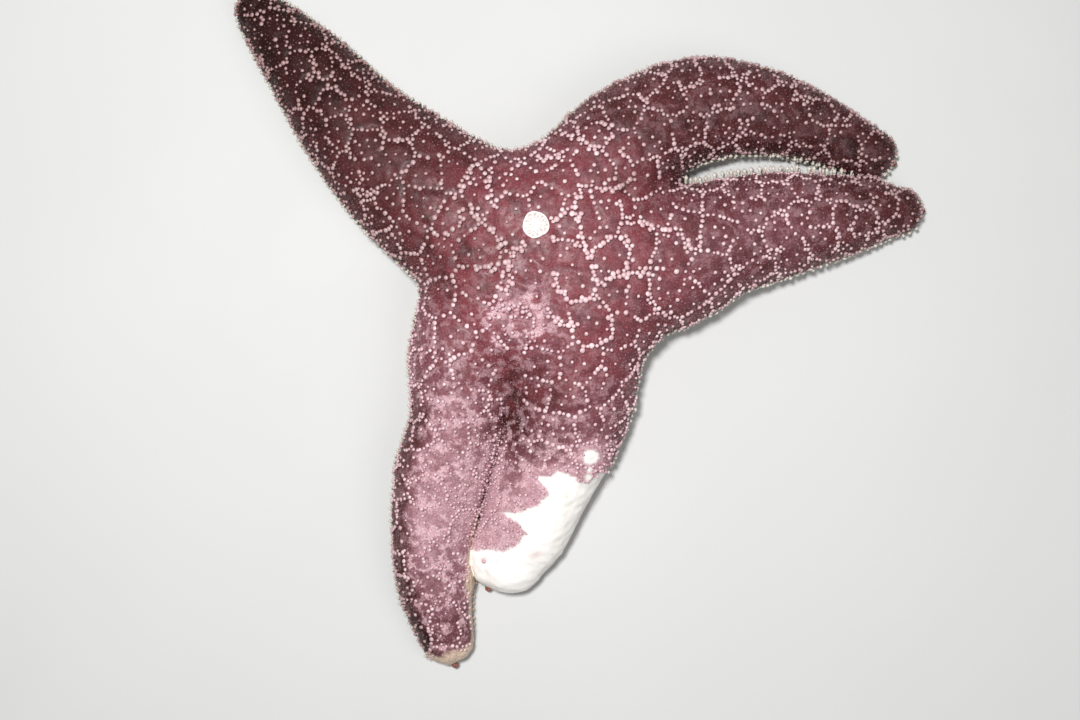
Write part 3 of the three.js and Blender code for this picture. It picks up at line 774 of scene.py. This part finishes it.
class Nodes:
    """Short ways to build a material's node tree."""

    def __init__(self, name):
        self.material = bpy.data.materials.new(name)
        self.material.use_nodes = True
        self.tree = self.material.node_tree
        self.shader = self.tree.nodes["Principled BSDF"]
        self.coordinates = self.new("ShaderNodeTexCoord").outputs["Object"]

    def new(self, kind, **settings):
        node = self.tree.nodes.new(kind)
        for key, value in settings.items():
            setattr(node, key, value)
        return node

    def put(self, value, socket):
        if isinstance(value, bpy.types.NodeSocket):
            self.tree.links.new(value, socket)
        elif hasattr(socket.default_value, "__len__"):
            socket.default_value = (*value, 1)
        else:
            socket.default_value = value

    def fill(self, node, **inputs):
        """Puts values or links into the node's inputs, a space in whose name is written as _."""
        for key, value in inputs.items():
            self.put(value, node.inputs[key.replace("_", " ")])
        return node

    def mark(self, name):
        return self.new("ShaderNodeAttribute", attribute_name=name).outputs["Fac"]

    def noise(self, size_mm, detail=3.0, roughness=0.55):
        node = self.new("ShaderNodeTexNoise")
        self.fill(node, Scale=1 / (size_mm * MM), Detail=detail, Roughness=roughness)
        self.tree.links.new(self.coordinates, node.inputs["Vector"])
        return node.outputs["Fac"]

    def cells(self, size_mm):
        node = self.fill(self.new("ShaderNodeTexVoronoi"), Scale=1 / (size_mm * MM))
        self.tree.links.new(self.coordinates, node.inputs["Vector"])
        return node.outputs["Distance"]

    def between(self, value, low, high, out_low=0.0, out_high=1.0):
        """Runs smoothly from out_low to out_high while the value runs from low to high."""
        node = self.new("ShaderNodeMapRange", interpolation_type="SMOOTHSTEP")
        self.fill(node, Value=value, From_Min=low, From_Max=high, To_Min=out_low, To_Max=out_high)
        return node.outputs["Result"]

    def uneven(self, size_mm, low, high, detail=3.0):
        """Noise between low and high."""
        return self.between(self.noise(size_mm, detail), 0.3, 0.7, low, high)

    def math(self, operation, *values, clamp=False):
        node = self.new("ShaderNodeMath", operation=operation, use_clamp=clamp)
        for socket, value in zip(node.inputs, values):
            self.put(value, socket)
        return node.outputs[0]

    def times(self, a, b, clamp=False):
        return self.math("MULTIPLY", a, b, clamp=clamp)

    def mix(self, share, a, b, blend="MIX"):
        node = self.new("ShaderNodeMix", data_type="RGBA", blend_type=blend)
        self.put(share, node.inputs["Factor"])
        self.put(a, node.inputs[6])
        self.put(b, node.inputs[7])
        return node.outputs[2]

    def ramp(self, value, stops):
        node = self.new("ShaderNodeValToRGB")
        ramp = node.color_ramp
        while len(ramp.elements) < len(stops):
            ramp.elements.new(0.5)
        for element, (place, colour) in zip(ramp.elements, stops):
            element.position = place
            element.color = (*colour, 1)
        return self.fill(node, Fac=value).outputs["Color"]

    def bump(self, height, depth_mm, strength):
        node = self.new("ShaderNodeBump")
        return self.fill(node, Height=height, Distance=depth_mm * MM, Strength=strength).outputs["Normal"]

    def finish(self, colour, roughness, bump=None, **constants):
        self.fill(self.shader, Base_Color=colour, Roughness=roughness, **constants)
        if bump is not None:
            self.tree.links.new(bump, self.shader.inputs["Normal"])
        return self.material


SKIN_TONES = [
    (0.0, (0.018, 0.005, 0.003)),
    (0.25, (0.068, 0.019, 0.018)),
    (0.5, (0.168, 0.062, 0.073)),
    (0.75, (0.300, 0.140, 0.165)),
    (1.0, (0.560, 0.330, 0.370)),
]
WINE_RED, BLOTCH_PINK, CREAM = (0.240, 0.054, 0.066), (0.680, 0.440, 0.480), (0.74, 0.56, 0.43)
BARE_WHITE, BARE_STAIN = (0.86, 0.83, 0.785), (0.80, 0.66, 0.52)
UNDER_TAN, UNDER_BROWN, UNDER_SPINE = (0.66, 0.50, 0.33), (0.42, 0.27, 0.17), (0.78, 0.70, 0.54)
GRAIN_DARK, GILL_TIP = (0.05, 0.016, 0.018), (0.66, 0.42, 0.44)
SPINE_ROOT, SPINE_WHITE, SPINE_SHADE = (0.26, 0.10, 0.11), (0.66, 0.44, 0.46), (0.50, 0.28, 0.30)
SPINE_BRIGHT, SPINE_DIM, SPINE_MAUVE = (0.84, 0.65, 0.66), (0.24, 0.13, 0.12), (0.56, 0.34, 0.39)
SPINE_GREENISH = (0.62, 0.62, 0.52)
FOOT_STEMS, FOOT_SUCKER = ((0.70, 0.50, 0.26), (0.82, 0.66, 0.42)), (0.86, 0.72, 0.52)
SIEVE_RIDGE, SIEVE_FURROW_SHADE, SIEVE_PINK = (0.92, 0.90, 0.87), (0.50, 0.40, 0.37), (0.88, 0.78, 0.76)
MOUTH_RIDGE, MOUTH_FOLD, MOUTH_PALE = (0.60, 0.42, 0.28), (0.34, 0.17, 0.13), (0.74, 0.58, 0.42)
EYE_REDS = ((0.16, 0.035, 0.025), (0.26, 0.07, 0.05))
FLOOR_GREYS = ((0.53, 0.53, 0.52), (0.57, 0.57, 0.56))
WET = {
    "Coat_Weight": 0.06,
    "Coat_Roughness": 0.28,
    "Specular_IOR_Level": 0.16,
    "Subsurface_Weight": 0.05,
    "Subsurface_Scale": 0.002,
}


def skin_colour(n):
    """The marks' colour, shared by the skin and by what grows on it."""
    mottle = n.math("MULTIPLY_ADD", n.noise(2.6, 4.0, 0.62), 0.42, -0.21)
    base = n.ramp(n.math("ADD", n.mark("tone"), mottle), SKIN_TONES)
    red = n.times(n.mark("wine"), n.between(n.noise(6.0), 0.30, 0.62, 0.15, 0.85))
    base = n.mix(red, base, WINE_RED)
    cloud = n.times(n.mark("blotch"), n.between(n.noise(3.2, 5.0, 0.68), 0.47, 0.60))
    base = n.mix(cloud, base, BLOTCH_PINK)
    under = n.mix(n.between(n.noise(4.0, 4.0), 0.35, 0.65), UNDER_TAN, UNDER_BROWN)
    base = n.mix(n.mark("under"), base, under)
    base = n.mix(n.mark("cream"), base, CREAM)
    bare = n.mix(n.between(n.noise(3.4, 5.0, 0.6), 0.62, 0.74), BARE_WHITE, BARE_STAIN)
    return n.mix(n.mark("patch"), base, bare)


def skin_material():
    n = Nodes("skin")
    sound = n.between(n.mark("patch"), 0.0, 1.0, 0.35, 0.0)
    grain = n.times(n.between(n.cells(0.55), 0.15, 0.75), sound)
    colour = n.mix(grain, skin_colour(n), GRAIN_DARK, "MULTIPLY")
    fine = n.math("ADD", n.noise(0.35), n.times(n.cells(0.7), 0.8))
    fine = n.times(fine, n.between(n.mark("patch"), 0.0, 1.0, 1.0, 0.06))
    return n.finish(colour, n.uneven(1.2, 0.36, 0.58), n.bump(fine, 0.10, 0.55), **WET)


def gill_material():
    n = Nodes("gills")
    base = skin_colour(n)
    colour = n.mix(n.times(n.mark("rise"), n.mark("own")), base, n.mix(0.30, base, GILL_TIP))
    bump = n.bump(n.noise(0.15), 0.02, 0.5)
    return n.finish(colour, n.uneven(0.8, 0.44, 0.62), bump, Specular_IOR_Level=0.2)


def spine_material():
    n = Nodes("spines")
    white = n.mix(n.uneven(0.8, 0.0, 0.25, 2.0), SPINE_WHITE, SPINE_SHADE)
    white = n.mix(n.between(n.mark("own"), 0.40, 1.0, 0.0, 0.75), white, SPINE_BRIGHT)
    root = n.mix(0.5, skin_colour(n), SPINE_ROOT)
    colour = n.mix(n.between(n.mark("rise"), 0.18, 0.58), root, white)
    # Spines are dimmer where the tone is low. That is the skin's own dark colour, and also the painted
    # shade of the creases and of the lower left arm's outer flank.
    dim = n.math("SUBTRACT", 1.0, n.between(n.mark("tone"), 0.0, 0.56), clamp=True)
    colour = n.mix(n.times(dim, 0.78), colour, SPINE_DIM)
    colour = n.mix(n.times(n.mark("blotch"), 0.45, clamp=True), colour, SPINE_MAUVE)
    colour = n.mix(n.mark("under"), colour, UNDER_SPINE)
    colour = n.mix(n.times(n.mark("edge"), 0.7), colour, SPINE_GREENISH)
    colour = n.mix(n.mark("cream"), colour, CREAM)
    bump = n.bump(n.noise(0.22), 0.03, 0.5)
    return n.finish(colour, n.uneven(0.5, 0.34, 0.50), bump, Coat_Weight=0.2, Coat_Roughness=0.2)


def foot_material():
    n = Nodes("tube_feet")
    colour = n.mix(n.between(n.mark("rise"), 0.6, 0.85), n.mix(n.noise(1.5), *FOOT_STEMS), FOOT_SUCKER)
    inner = {"Subsurface_Weight": 0.1, "Subsurface_Scale": 0.002}
    return n.finish(colour, n.uneven(0.6, 0.30, 0.46), n.bump(n.noise(0.3), 0.04, 0.6), **inner)


def sieve_material():
    n = Nodes("sieve_plate")
    # The furrows are darker as painted shade in their recesses.
    colour = n.mix(n.between(n.mark("furrow"), 0.0, 1.0), SIEVE_RIDGE, SIEVE_FURROW_SHADE)
    colour = n.mix(n.times(n.noise(1.0), 0.25), colour, SIEVE_PINK)
    return n.finish(colour, n.uneven(0.4, 0.42, 0.62), n.bump(n.noise(0.2), 0.04, 0.6))


def mouth_material():
    n = Nodes("mouth_skin")
    colour = n.mix(n.mark("fold"), MOUTH_RIDGE, MOUTH_FOLD)
    colour = n.mix(n.between(n.noise(1.2, 4.0), 0.4, 0.7, 0.0, 0.4), colour, MOUTH_PALE)
    bump = n.bump(n.noise(0.25), 0.05, 0.6)
    return n.finish(colour, n.uneven(0.8, 0.32, 0.50), bump, Coat_Weight=0.3, Coat_Roughness=0.2)


def eyespot_material():
    n = Nodes("eyespot")
    bump = n.bump(n.cells(0.4), 0.06, 0.7)
    colour = n.mix(n.cells(0.5), *EYE_REDS)
    return n.finish(colour, n.uneven(0.4, 0.25, 0.42), bump, Coat_Weight=0.3, Coat_Roughness=0.15)


def floor_material():
    n = Nodes("floor")
    return n.finish(n.mix(n.noise(60.0), *FLOOR_GREYS), n.uneven(30.0, 0.62, 0.72))


# ---- The pieces that grow on the skin ----

# Rows of spines that touch one another on the disc, as lines of points x, y.
SPINE_ROWS = [
    [(-8.1, 14.6), (-6.7, 10.6), (-3.8, 7.3), (1.5, 7.7), (4.0, 11.8), (2.6, 15.7), (0.9, 20.8),
     (-3.0, 23.9), (-8.1, 23.9)],
    [(0.1, 23.3), (-1.3, 29.8), (-2.4, 34.4)],
    [(-2.4, 34.4), (-6.9, 30.4), (-11.2, 30.9)],
    [(-1.8, 35.9), (-0.1, 39.5), (5.2, 38.7), (10.7, 39.7), (13.8, 42.4), (14.1, 46.1), (10.7, 49.4)],
    [(-30.0, 16.6), (-26.1, 16.3), (-21.3, 15.4), (-20.2, 19.4), (-16.5, 23.0)],
    [(-20.4, 19.7), (-23.6, 23.9), (-25.5, 26.8), (-31.2, 31.7)],
    [(-20.2, 15.2), (-21.0, 11.2), (-22.4, 9.3)],
    [(2.6, 20.8), (6.0, 23.6), (9.7, 25.1), (13.1, 21.7)],
    [(9.7, 25.1), (10.9, 29.9), (10.3, 35.1)],
    [(13.2, 28.6), (16.9, 29.5), (20.6, 27.0), (20.6, 22.1), (19.1, 18.1)],
    [(22.4, 27.0), (27.8, 26.8), (29.5, 21.1)],
    [(5.2, 12.4), (10.0, 13.8), (15.1, 15.0), (20.9, 14.5)],
    [(12.8, 21.7), (12.6, 18.1), (12.3, 13.8)],
    [(3.8, 8.4), (7.7, 3.9), (8.1, -1.1), (5.0, -4.8), (0.2, -5.6)],
    [(-10.0, 4.8), (-6.4, 0.6), (-1.3, 0.6)],
    [(-25.6, 2.3), (-22.2, 5.9), (-17.1, 5.3), (-13.7, 1.7), (-15.4, -5.4)],
    [(-4.8, 54.3), (0.0, 52.9), (3.6, 50.0), (6.5, 51.4), (7.9, 54.6), (5.7, 58.0)],
    [(-12.6, 46.6), (-8.6, 47.4), (-4.0, 49.8)],
    [(-30.3, 46.2), (-34.2, 41.0), (-36.4, 36.1)],
    [(-25.2, 46.0), (-26.2, 40.4), (-24.7, 33.6)],
    [(-34.7, 32.0), (-34.4, 28.9), (-38.4, 26.2)],
    [(18.6, 14.7), (19.6, 7.5), (24.9, 3.1)],
]
SPINE_CLUSTER = (-21.3, 15.4, 2.6)  # x, y and radius of the thickest bunch
CLUSTER_COUNT = 12
ROW_STEP, ROW_STRAY, ROW_CLOSEST = 1.34, 0.16, 0.76  # the last as a share of the step
ROW_BESIDE, BESIDE_SHARE = 1.1, 0.75  # how far beside a row its second beads stand, and how many have one
MADREPORITE = (-13.2, 28.5, 3.9)  # x, y and radius of the sieve plate
NET_ABOVE = 0.41  # share of the height
NET_FROM = 14  # distance from the disc's middle where the listed rows give way to the net
NET_FADES, SIZE_FADES = (28, 60), (25, 80)  # distances over which the net and the spines' size change
NET_STEP, NET_STEP_LESS = 1.28, 0.18  # each NET size has its change on the arms beside it
NET_WIDTH, NET_WIDTH_MORE = 0.95, 0.8
KNOT_WIDTH, KNOT_WIDTH_MORE = 1.1, 2.3  # where three lines meet, in some places
SINGLES_GAP, SINGLES_GAP_LESS, SINGLES_GAP_VARIES, SINGLES_GAP_WITHIN = 3.1, 0.4, 1.3, (1.5, 4.5)
SPINE_WIDTHS = np.array([0.76, 0.69, 0.55])  # of the rows, the net and the singles
SPINE_LENGTHS = np.array([1.25, 1.15, 0.95])
FAR_NARROWER, FAR_SHORTER, BLOTCH_NARROWER = 0.10, 0.15, 0.16
CREASE_BARE, CREASE_NO_EDGE = 0.52, 0.35  # where the painted crease shade is stronger than these, the skin bears no net and no edge spines
GILL_STEP, GILLS_ABOVE = 0.98, 0.2
GILL_WIDTHS, GILL_LENGTHS = (0.22, 0.36), (0.25, 0.52)
EDGE_ROWS = (0.14, 0.22, 0.30, 0.38)  # how high the edge spines' rows run, as shares of the arm's height
EDGE_LOW, EDGE_TOP, CREAM_EDGE_TOP = 0.1, 0.42, 0.2  # the same shares
EDGE_OFF_GROOVE, UNDER_OFF_GROOVE, UNDER_BELOW = 3, 0.5, SOLE + 1.2
EDGE_STEP, UNDER_STEP, UNDER_ROW = 1.7, 1.75, 1.9
EDGE_SIZE, UNDER_SIZE = (0.62, 1.2), (0.66, 1.25)  # width and length
FRINGE_START, FRINGE_END, FRINGE_ABOVE = 45.0, 8.0, 0.26  # on the right arm, beside the gap
FRINGE_EXTRA = 1.2
FEET_STEP = 1.25
FEET_ROWS = (0.30, 0.72)  # shares of the groove's half width, in turn
FOOT_WIDTH, FOOT_SPLAY, SUCKER_HEIGHT = 0.66, 1.25, 0.12
EYE_BEADS = 34


def along_lines(lines, step):
    """Points every step along the lines, their corners rounded."""
    out = []
    for line in lines:
        smooth = centripetal_track(line, 8)
        run = np.concatenate([[0], np.cumsum(np.linalg.norm(np.diff(smooth, axis=0), axis=1))])
        at = np.linspace(0, run[-1], max(int(round(run[-1] / step)), 1) + 1)
        out.append(np.stack([np.interp(at, run, smooth[:, axis]) for axis in (0, 1)], -1))
    return np.vstack(out)


def off_plate(points, margin):
    return away(points, MADREPORITE) > MADREPORITE[2] + margin


def spine_rows(rng):
    """The listed rows of the disc, some of their beads doubled, and the thick bunch."""
    rows = along_lines(SPINE_ROWS, ROW_STEP)
    rows = rows + rng.normal(0, ROW_STRAY, rows.shape)
    beside = rows[rng.random(len(rows)) < BESIDE_SHARE]
    beside = beside + ROW_BESIDE * circle(rng.uniform(0, 2 * np.pi, len(beside)))
    *middle, radius = SPINE_CLUSTER
    way = circle(rng.uniform(0, 2 * np.pi, CLUSTER_COUNT))
    bunch = np.sqrt(rng.random(CLUSTER_COUNT))[:, None] * way * radius
    rows = on_top(np.vstack([rows, beside, bunch + middle]))
    return darts(rows, ROW_STEP * ROW_CLOSEST, np.arange(len(rows)))


def net_spines(ground):
    """The disc's rows, spines along the net's lines, and singles on the pads: points and their kind."""
    rng = np.random.default_rng(31)
    rows = spine_rows(rng)
    points, marks, out = ground["points"], ground["marks"], ground["out"]
    sound = (marks["patch"] < 0.25) & (marks["cream"] < 0.5)
    sound &= ground["crease_shade"] <= CREASE_BARE + 0.08 * waves(points, 3, 45)
    free = (ground["share"] > NET_ABOVE) & off_plate(points, 0.9) & sound
    edge = ground["edge"] + 0.3 * np.abs(rng.normal(size=len(points)))
    far = fade(*NET_FADES, out)
    clump = (1 - fade(0.6, 2.6, ground["knot"])) * fade(-0.2, 0.5, waves(points, 9, 44))
    line_width = NET_WIDTH + NET_WIDTH_MORE * far + clump * (KNOT_WIDTH + KNOT_WIDTH_MORE * far)
    unbroken = waves(points, 13, 41) + 0.8 * waves(points, 4, 42) > -0.35 - 0.35 * (1 - far)
    on_line = np.nonzero(free & (edge < line_width) & unbroken & (out > NET_FROM))[0]
    order = on_line[np.argsort(edge[on_line])]
    line_spines = darts(points, NET_STEP - NET_STEP_LESS * far, order, rows)
    gaps = SINGLES_GAP - SINGLES_GAP_LESS * far + SINGLES_GAP_VARIES * waves(points, 8, 43)
    order = rng.permutation(np.nonzero(free)[0])
    singles = darts(points, gaps.clip(*SINGLES_GAP_WITHIN), order, np.vstack([rows, line_spines]))
    kinds = np.repeat([0, 1, 2], [len(rows), len(line_spines), len(singles)])
    return np.vstack([rows, line_spines, singles]), kinds


def make_spines(ground, middles, material):
    rng = np.random.default_rng(51)
    points, kinds = net_spines(ground)
    at = survey(points, middles)
    far = fade(*SIZE_FADES, at["out"])
    count = len(points)
    widths = SPINE_WIDTHS[kinds] * (1 - FAR_NARROWER * far) * rng.uniform(0.70, 1.2, count)
    widths *= 1 - BLOTCH_NARROWER * fade(0.4, 1.0, at["marks"]["blotch"])
    lengths = SPINE_LENGTHS[kinds] * (1 - FAR_SHORTER * far) * rng.uniform(0.85, 1.12, count) + ROOT_SUNK
    lean = rng.normal(0, 0.09, (count, 3))
    at["marks"]["edge"] = np.zeros(count)
    keep = off_plate(points, 0.5)
    plant_by_arm("spines", SPINE_FORM, at, keep, lean, widths, lengths, material, 61)
    return points


def make_gills(ground, middles, spines, material):
    rng = np.random.default_rng(71)
    sound = (ground["marks"]["patch"] < 0.3) & (ground["marks"]["cream"] < 0.3)
    free = np.nonzero((ground["share"] > GILLS_ABOVE) & off_plate(ground["points"], 0.4) & sound)[0]
    points = darts(ground["points"], GILL_STEP, rng.permutation(free), spines)
    count = len(points)
    widths = rng.uniform(*GILL_WIDTHS, count)
    lengths = rng.uniform(*GILL_LENGTHS, count) + ROOT_SUNK
    lean = rng.normal(0, 0.2, (count, 3))
    at = survey(points, middles)
    plant_by_arm("gills", GILL_FORM, at, np.ones(count, bool), lean, widths, lengths, material, 81)


def edge_and_under(ground, rng):
    """Points in rows round the widest part, then over the underside, and how many the first are."""
    points, depth, share = ground["points"], ground["depth"], ground["share"]
    sound = (patch_mask(points, ground["plan"]) < 0.25) & (ground["crease_shade"] < CREASE_NO_EDGE)
    rows = np.abs(share[:, None] - np.array([EDGE_ROWS])).min(1)
    top = np.where(ground["marks"]["cream"] > 0.4, CREAM_EDGE_TOP, EDGE_TOP)
    order = np.nonzero((share > EDGE_LOW) & (share < top) & (depth > EDGE_OFF_GROOVE) & sound)[0]
    edge = darts(points, EDGE_STEP, order[np.argsort(rows[order])])
    order = np.nonzero((points[:, 2] < UNDER_BELOW) & (depth > UNDER_OFF_GROOVE))[0]
    order = order[np.argsort(np.round(depth[order] / UNDER_ROW) + 0.3 * rng.random(len(order)))]
    under = darts(points, UNDER_STEP, order, edge)
    return np.vstack([edge, under]), len(edge)


def make_edge_spines(ground, middles, material):
    """Blunt spines round the arms' edges, and fingers over the underside that stop above the floor."""
    rng = np.random.default_rng(91)
    points, edge_count = edge_and_under(ground, rng)
    count = len(points)
    at = survey(points, middles)
    is_edge = np.arange(count) < edge_count
    at["marks"]["edge"] = is_edge * 1.0
    lean = 0.25 * at["normal"] * [1, 1, 0] + rng.normal(0, 0.12, (count, 3))
    lean[:, 2] += np.where(is_edge, 0.05, -0.3)
    plan = at["plan"]
    across, along = (plan["arms"][key][RIGHT] for key in ("across", "along"))
    in_gap = (along > FRINGE_START) & (LENGTHS[RIGHT] - along > FRINGE_END) & (across > 0)
    fringe = is_edge & in_gap & (plan["nearest"] == RIGHT) & (at["share"] > FRINGE_ABOVE)
    wide, long = (np.where(is_edge, *sizes) for sizes in zip(EDGE_SIZE, UNDER_SIZE))
    widths = wide * rng.uniform(0.8, 1.15, count)
    lengths = (long + FRINGE_EXTRA * fringe) * rng.uniform(0.85, 1.1, count) + ROOT_SUNK
    down = -unit(at["normal"] + lean)[:, 2]
    reach = np.where(down > 0.05, (at["root"][:, 2] - SUCKER_HEIGHT) / np.maximum(down, 0.05), 9)
    lengths = np.minimum(lengths, np.maximum(reach, 0.5))
    plant_by_arm("edge_spines", SPINE_FORM, at, is_edge, lean, widths, lengths, material, 101)
    plant_by_arm("under_spines", FINGER_FORM, at, ~is_edge, lean, widths, lengths, material, 106)


def make_feet(material):
    """Four staggered rows of tube feet in each groove, their suckers just over the floor."""
    rng = np.random.default_rng(111)
    for i, (arm, line) in enumerate(zip(ARM_NAMES, MIDLINES)):
        along = np.arange(MOUTH_RADIUS + 1.5, line.groove_end - 3, FEET_STEP)
        row = np.resize(FEET_ROWS, len(along)).repeat(2)
        along = along.repeat(2)
        at, way, height = line.at(np.minimum(along, line.length))
        at = at + way * np.maximum(along - line.length, 0)[:, None]
        half, depth = line.groove(along, height)
        offset = np.resize([-1, 1], len(along)) * row * half
        across = np.stack([-way[:, 1], way[:, 0]], -1) * offset[:, None]
        stray = rng.normal(0, 0.35, (len(along), 2))
        roots = np.column_stack([at + across, depth * np.sqrt(1 - row * row) + 0.3])
        tips = np.column_stack([at + across * FOOT_SPLAY + stray, np.full(len(along), SUCKER_HEIGHT)])
        widths = FOOT_WIDTH * (1 - 0.45 * along / line.groove_end)
        axes = tips - roots
        uv = unwrap(plan_of(roots)["arms"], np.full(len(roots), 0.5), i)
        lengths = np.linalg.norm(axes, axis=1)
        piece = plant(f"tube_feet_{arm}", FOOT_FORM, roots, axes, widths, lengths, {}, uv, 121 + i)
        finished(piece, material)


def make_eyespots(material):
    """A cushion of small red beads at each arm's tip, in the place of the frame's own."""
    rng = np.random.default_rng(141)
    k = np.arange(EYE_BEADS)
    up = 1 - 1.9 * (k + 0.5) / EYE_BEADS
    turn = k * np.pi * (3 - np.sqrt(5))
    axes = np.column_stack([np.sqrt(1 - up * up)[:, None] * circle(turn), up])
    for i, name in enumerate(ARM_NAMES):
        low, high = box_mm(f"eyespot_{name}")
        radius = (high - low).min() / 2
        roots = (low + high) / 2 + axes * radius * 0.35
        widths = rng.uniform(0.30, 0.38, EYE_BEADS) * radius
        uv = unwrap(plan_of(roots)["arms"], roots[:, 2], i)
        lengths = np.full(EYE_BEADS, radius * 0.62)
        piece = plant(f"eyespot_beads_{name}", BEAD_FORM, roots, axes, widths, lengths, {}, uv, 151 + i)
        finished(piece, material)
        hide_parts(f"eyespot_{name}")


# ---- The mouth and the sieve plate ----

MOUTH_SIDES, MOUTH_RINGS, MOUTH_FOLDS, MOUTH_OPENING = 120, 22, 15, 1.9
SIEVE_SIDES, SIEVE_RINGS, SIEVE_SPIRALS, FURROW_DEPTH = 96, 30, 17, 0.30


def make_mouth():
    """The soft ring round the mouth, folded towards its opening, in the place of the frame's own."""
    low, high = box_mm("mouth")
    middle, radius = (low + high) / 2, (high - low)[0] / 2
    row, column = np.divmod(np.arange(MOUTH_RINGS * MOUTH_SIDES), MOUTH_SIDES)
    turn, angle = 2 * np.pi * column / MOUTH_SIDES, 2 * np.pi * row / MOUTH_RINGS
    folds = 0.5 + 0.5 * np.cos(turn * MOUTH_FOLDS)
    r = (radius + MOUTH_OPENING) / 2 + (radius - MOUTH_OPENING) / 2 * np.cos(angle) * (1 - 0.10 * folds)
    inner = np.clip(-np.cos(angle), 0, 1)
    thick = (high - low)[2] / 2 * (1 - 0.25 * folds * (0.4 + 0.6 * inner))
    places = np.column_stack([middle[:2] + r[:, None] * circle(turn), middle[2] + thick * np.sin(angle)])
    across, up = column[:, None] + [0, 1, 1, 0], row[:, None] + [0, 0, 1, 1]
    quads = up % MOUTH_RINGS * MOUTH_SIDES + across % MOUTH_SIDES
    u, v, wide, high = MOUTH_UNWRAP
    uv = np.stack([u + wide * across / MOUTH_SIDES, v + high * up / MOUTH_RINGS], -1)
    piece = add_mesh("mouth_ring", places, quads, uv.reshape(-1, 2), {"fold": 1 - folds})
    finished(piece, mouth_material())
    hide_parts("mouth")


def make_sieve_plate():
    """The low white button with winding furrows, in the place of the frame's own."""
    low, high = box_mm("madreporite")
    middle, radius, top, bottom = (low + high) / 2, (high - low)[0] / 2, high[2], low[2]
    sides, count = SIEVE_SIDES, SIEVE_RINGS + 2
    turn = 2 * np.pi * np.arange(sides) / sides
    out = np.concatenate([np.linspace(0.02, 1, SIEVE_RINGS), [1.0, 0.9]])[:, None]
    flat = out[..., None] * circle(turn)
    level = np.column_stack([flat.reshape(-1, 2) * radius, np.zeros(count * sides)])
    wander = 0.45 * waves(level, 2.6, 131).reshape(count, sides)
    furrow = 0.5 + 0.5 * np.cos(turn * SIEVE_SPIRALS + 8 * wander + 4 * out)
    furrow = furrow * fade(0.12, 0.35, out) * (1 - fade(0.90, 0.99, out))
    z = top - (top - bottom) * 0.32 * out**2.4 - FURROW_DEPTH * furrow
    z[-2], z[-1] = bottom + 0.6, bottom
    edge = radius * (0.97 + 0.035 * np.cos(turn * 3 + 0.5) + 0.02 * np.cos(turn * 5 + 2))
    places = np.column_stack([(middle[:2] + flat * edge[:, None]).reshape(-1, 2), z.ravel()])
    places = np.vstack([places, [*middle[:2], top], [*middle[:2], bottom]])
    faces = ring_faces(count, sides)[:, ::-1]
    u, v, size = SIEVE_UNWRAP
    span = np.concatenate([np.linspace(0, 0.8, SIEVE_RINGS), [0.9, 1.0]])[:, None, None]
    uv = np.vstack([([u, v] + size * span * circle(turn)).reshape(-1, 2), [u, v], [u, v]])
    floats = {"furrow": np.append(furrow.ravel(), [0, 0])}
    piece = add_mesh("sieve_plate", places, faces, uv[faces.ravel()], floats)
    finished(piece, sieve_material())
    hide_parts("madreporite")


# ---- Floor, camera and light ----

FLOOR_REACH = 3000.0
CAMERA_AT = (-12.0, -9.6, 399.0)
CAMERA_LENS, SENSOR_WIDTH = 43.456, 36.0
KEY = {"at": (-95, 80, 560), "size": 90, "power": 3.9}
FILL = {"at": (300, -180, 560), "size": 420, "power": 1.0}
WORLD_COLOUR, WORLD_STRENGTH = (0.95, 0.97, 1.0, 1), 0.20


def make_floor():
    corners = [(x * FLOOR_REACH, y * FLOOR_REACH, 0) for x, y in ((-1, -1), (1, -1), (1, 1), (-1, 1))]
    floor = add_mesh("floor", corners, [(0, 1, 2, 3)])
    floor.data.materials.append(floor_material())


def place_camera():
    camera = bpy.data.cameras.new("camera")
    camera.lens = CAMERA_LENS
    camera.sensor_width = SENSOR_WIDTH
    camera.sensor_fit = "HORIZONTAL"
    camera.clip_start = 0.01
    bpy.context.scene.camera = add_object("camera", camera, CAMERA_AT)


def place_light(name, at, size, power):
    light = bpy.data.lights.new(name, "AREA")
    light.shape = "DISK"
    light.size = size * MM
    light.energy = power
    holder = add_object(name, light, at)
    aim = Vector((DISC[0], DISC[1], 0)) * MM - holder.location
    holder.rotation_euler = aim.to_track_quat("-Z", "Y").to_euler()


def soft_world():
    world = bpy.data.worlds.new("world")
    world.use_nodes = True
    background = world.node_tree.nodes["Background"]
    background.inputs["Color"].default_value = WORLD_COLOUR
    background.inputs["Strength"].default_value = WORLD_STRENGTH
    bpy.context.scene.world = world
    bpy.context.scene.view_settings.view_transform = "Standard"


places, quads = skin_surface()
surface = sample_surface(places, quads, SAMPLES)
middles = pad_middles(surface)
make_skin(places, quads, middles)
ground = survey(surface, middles)
spines = make_spines(ground, middles, spine_material())
make_gills(ground, middles, spines, gill_material())
make_edge_spines(ground, middles, spine_material())
make_feet(foot_material())
make_mouth()
make_sieve_plate()
make_eyespots(eyespot_material())
make_floor()
place_camera()
place_light("key", **KEY)
place_light("fill", **FILL)
soft_world()
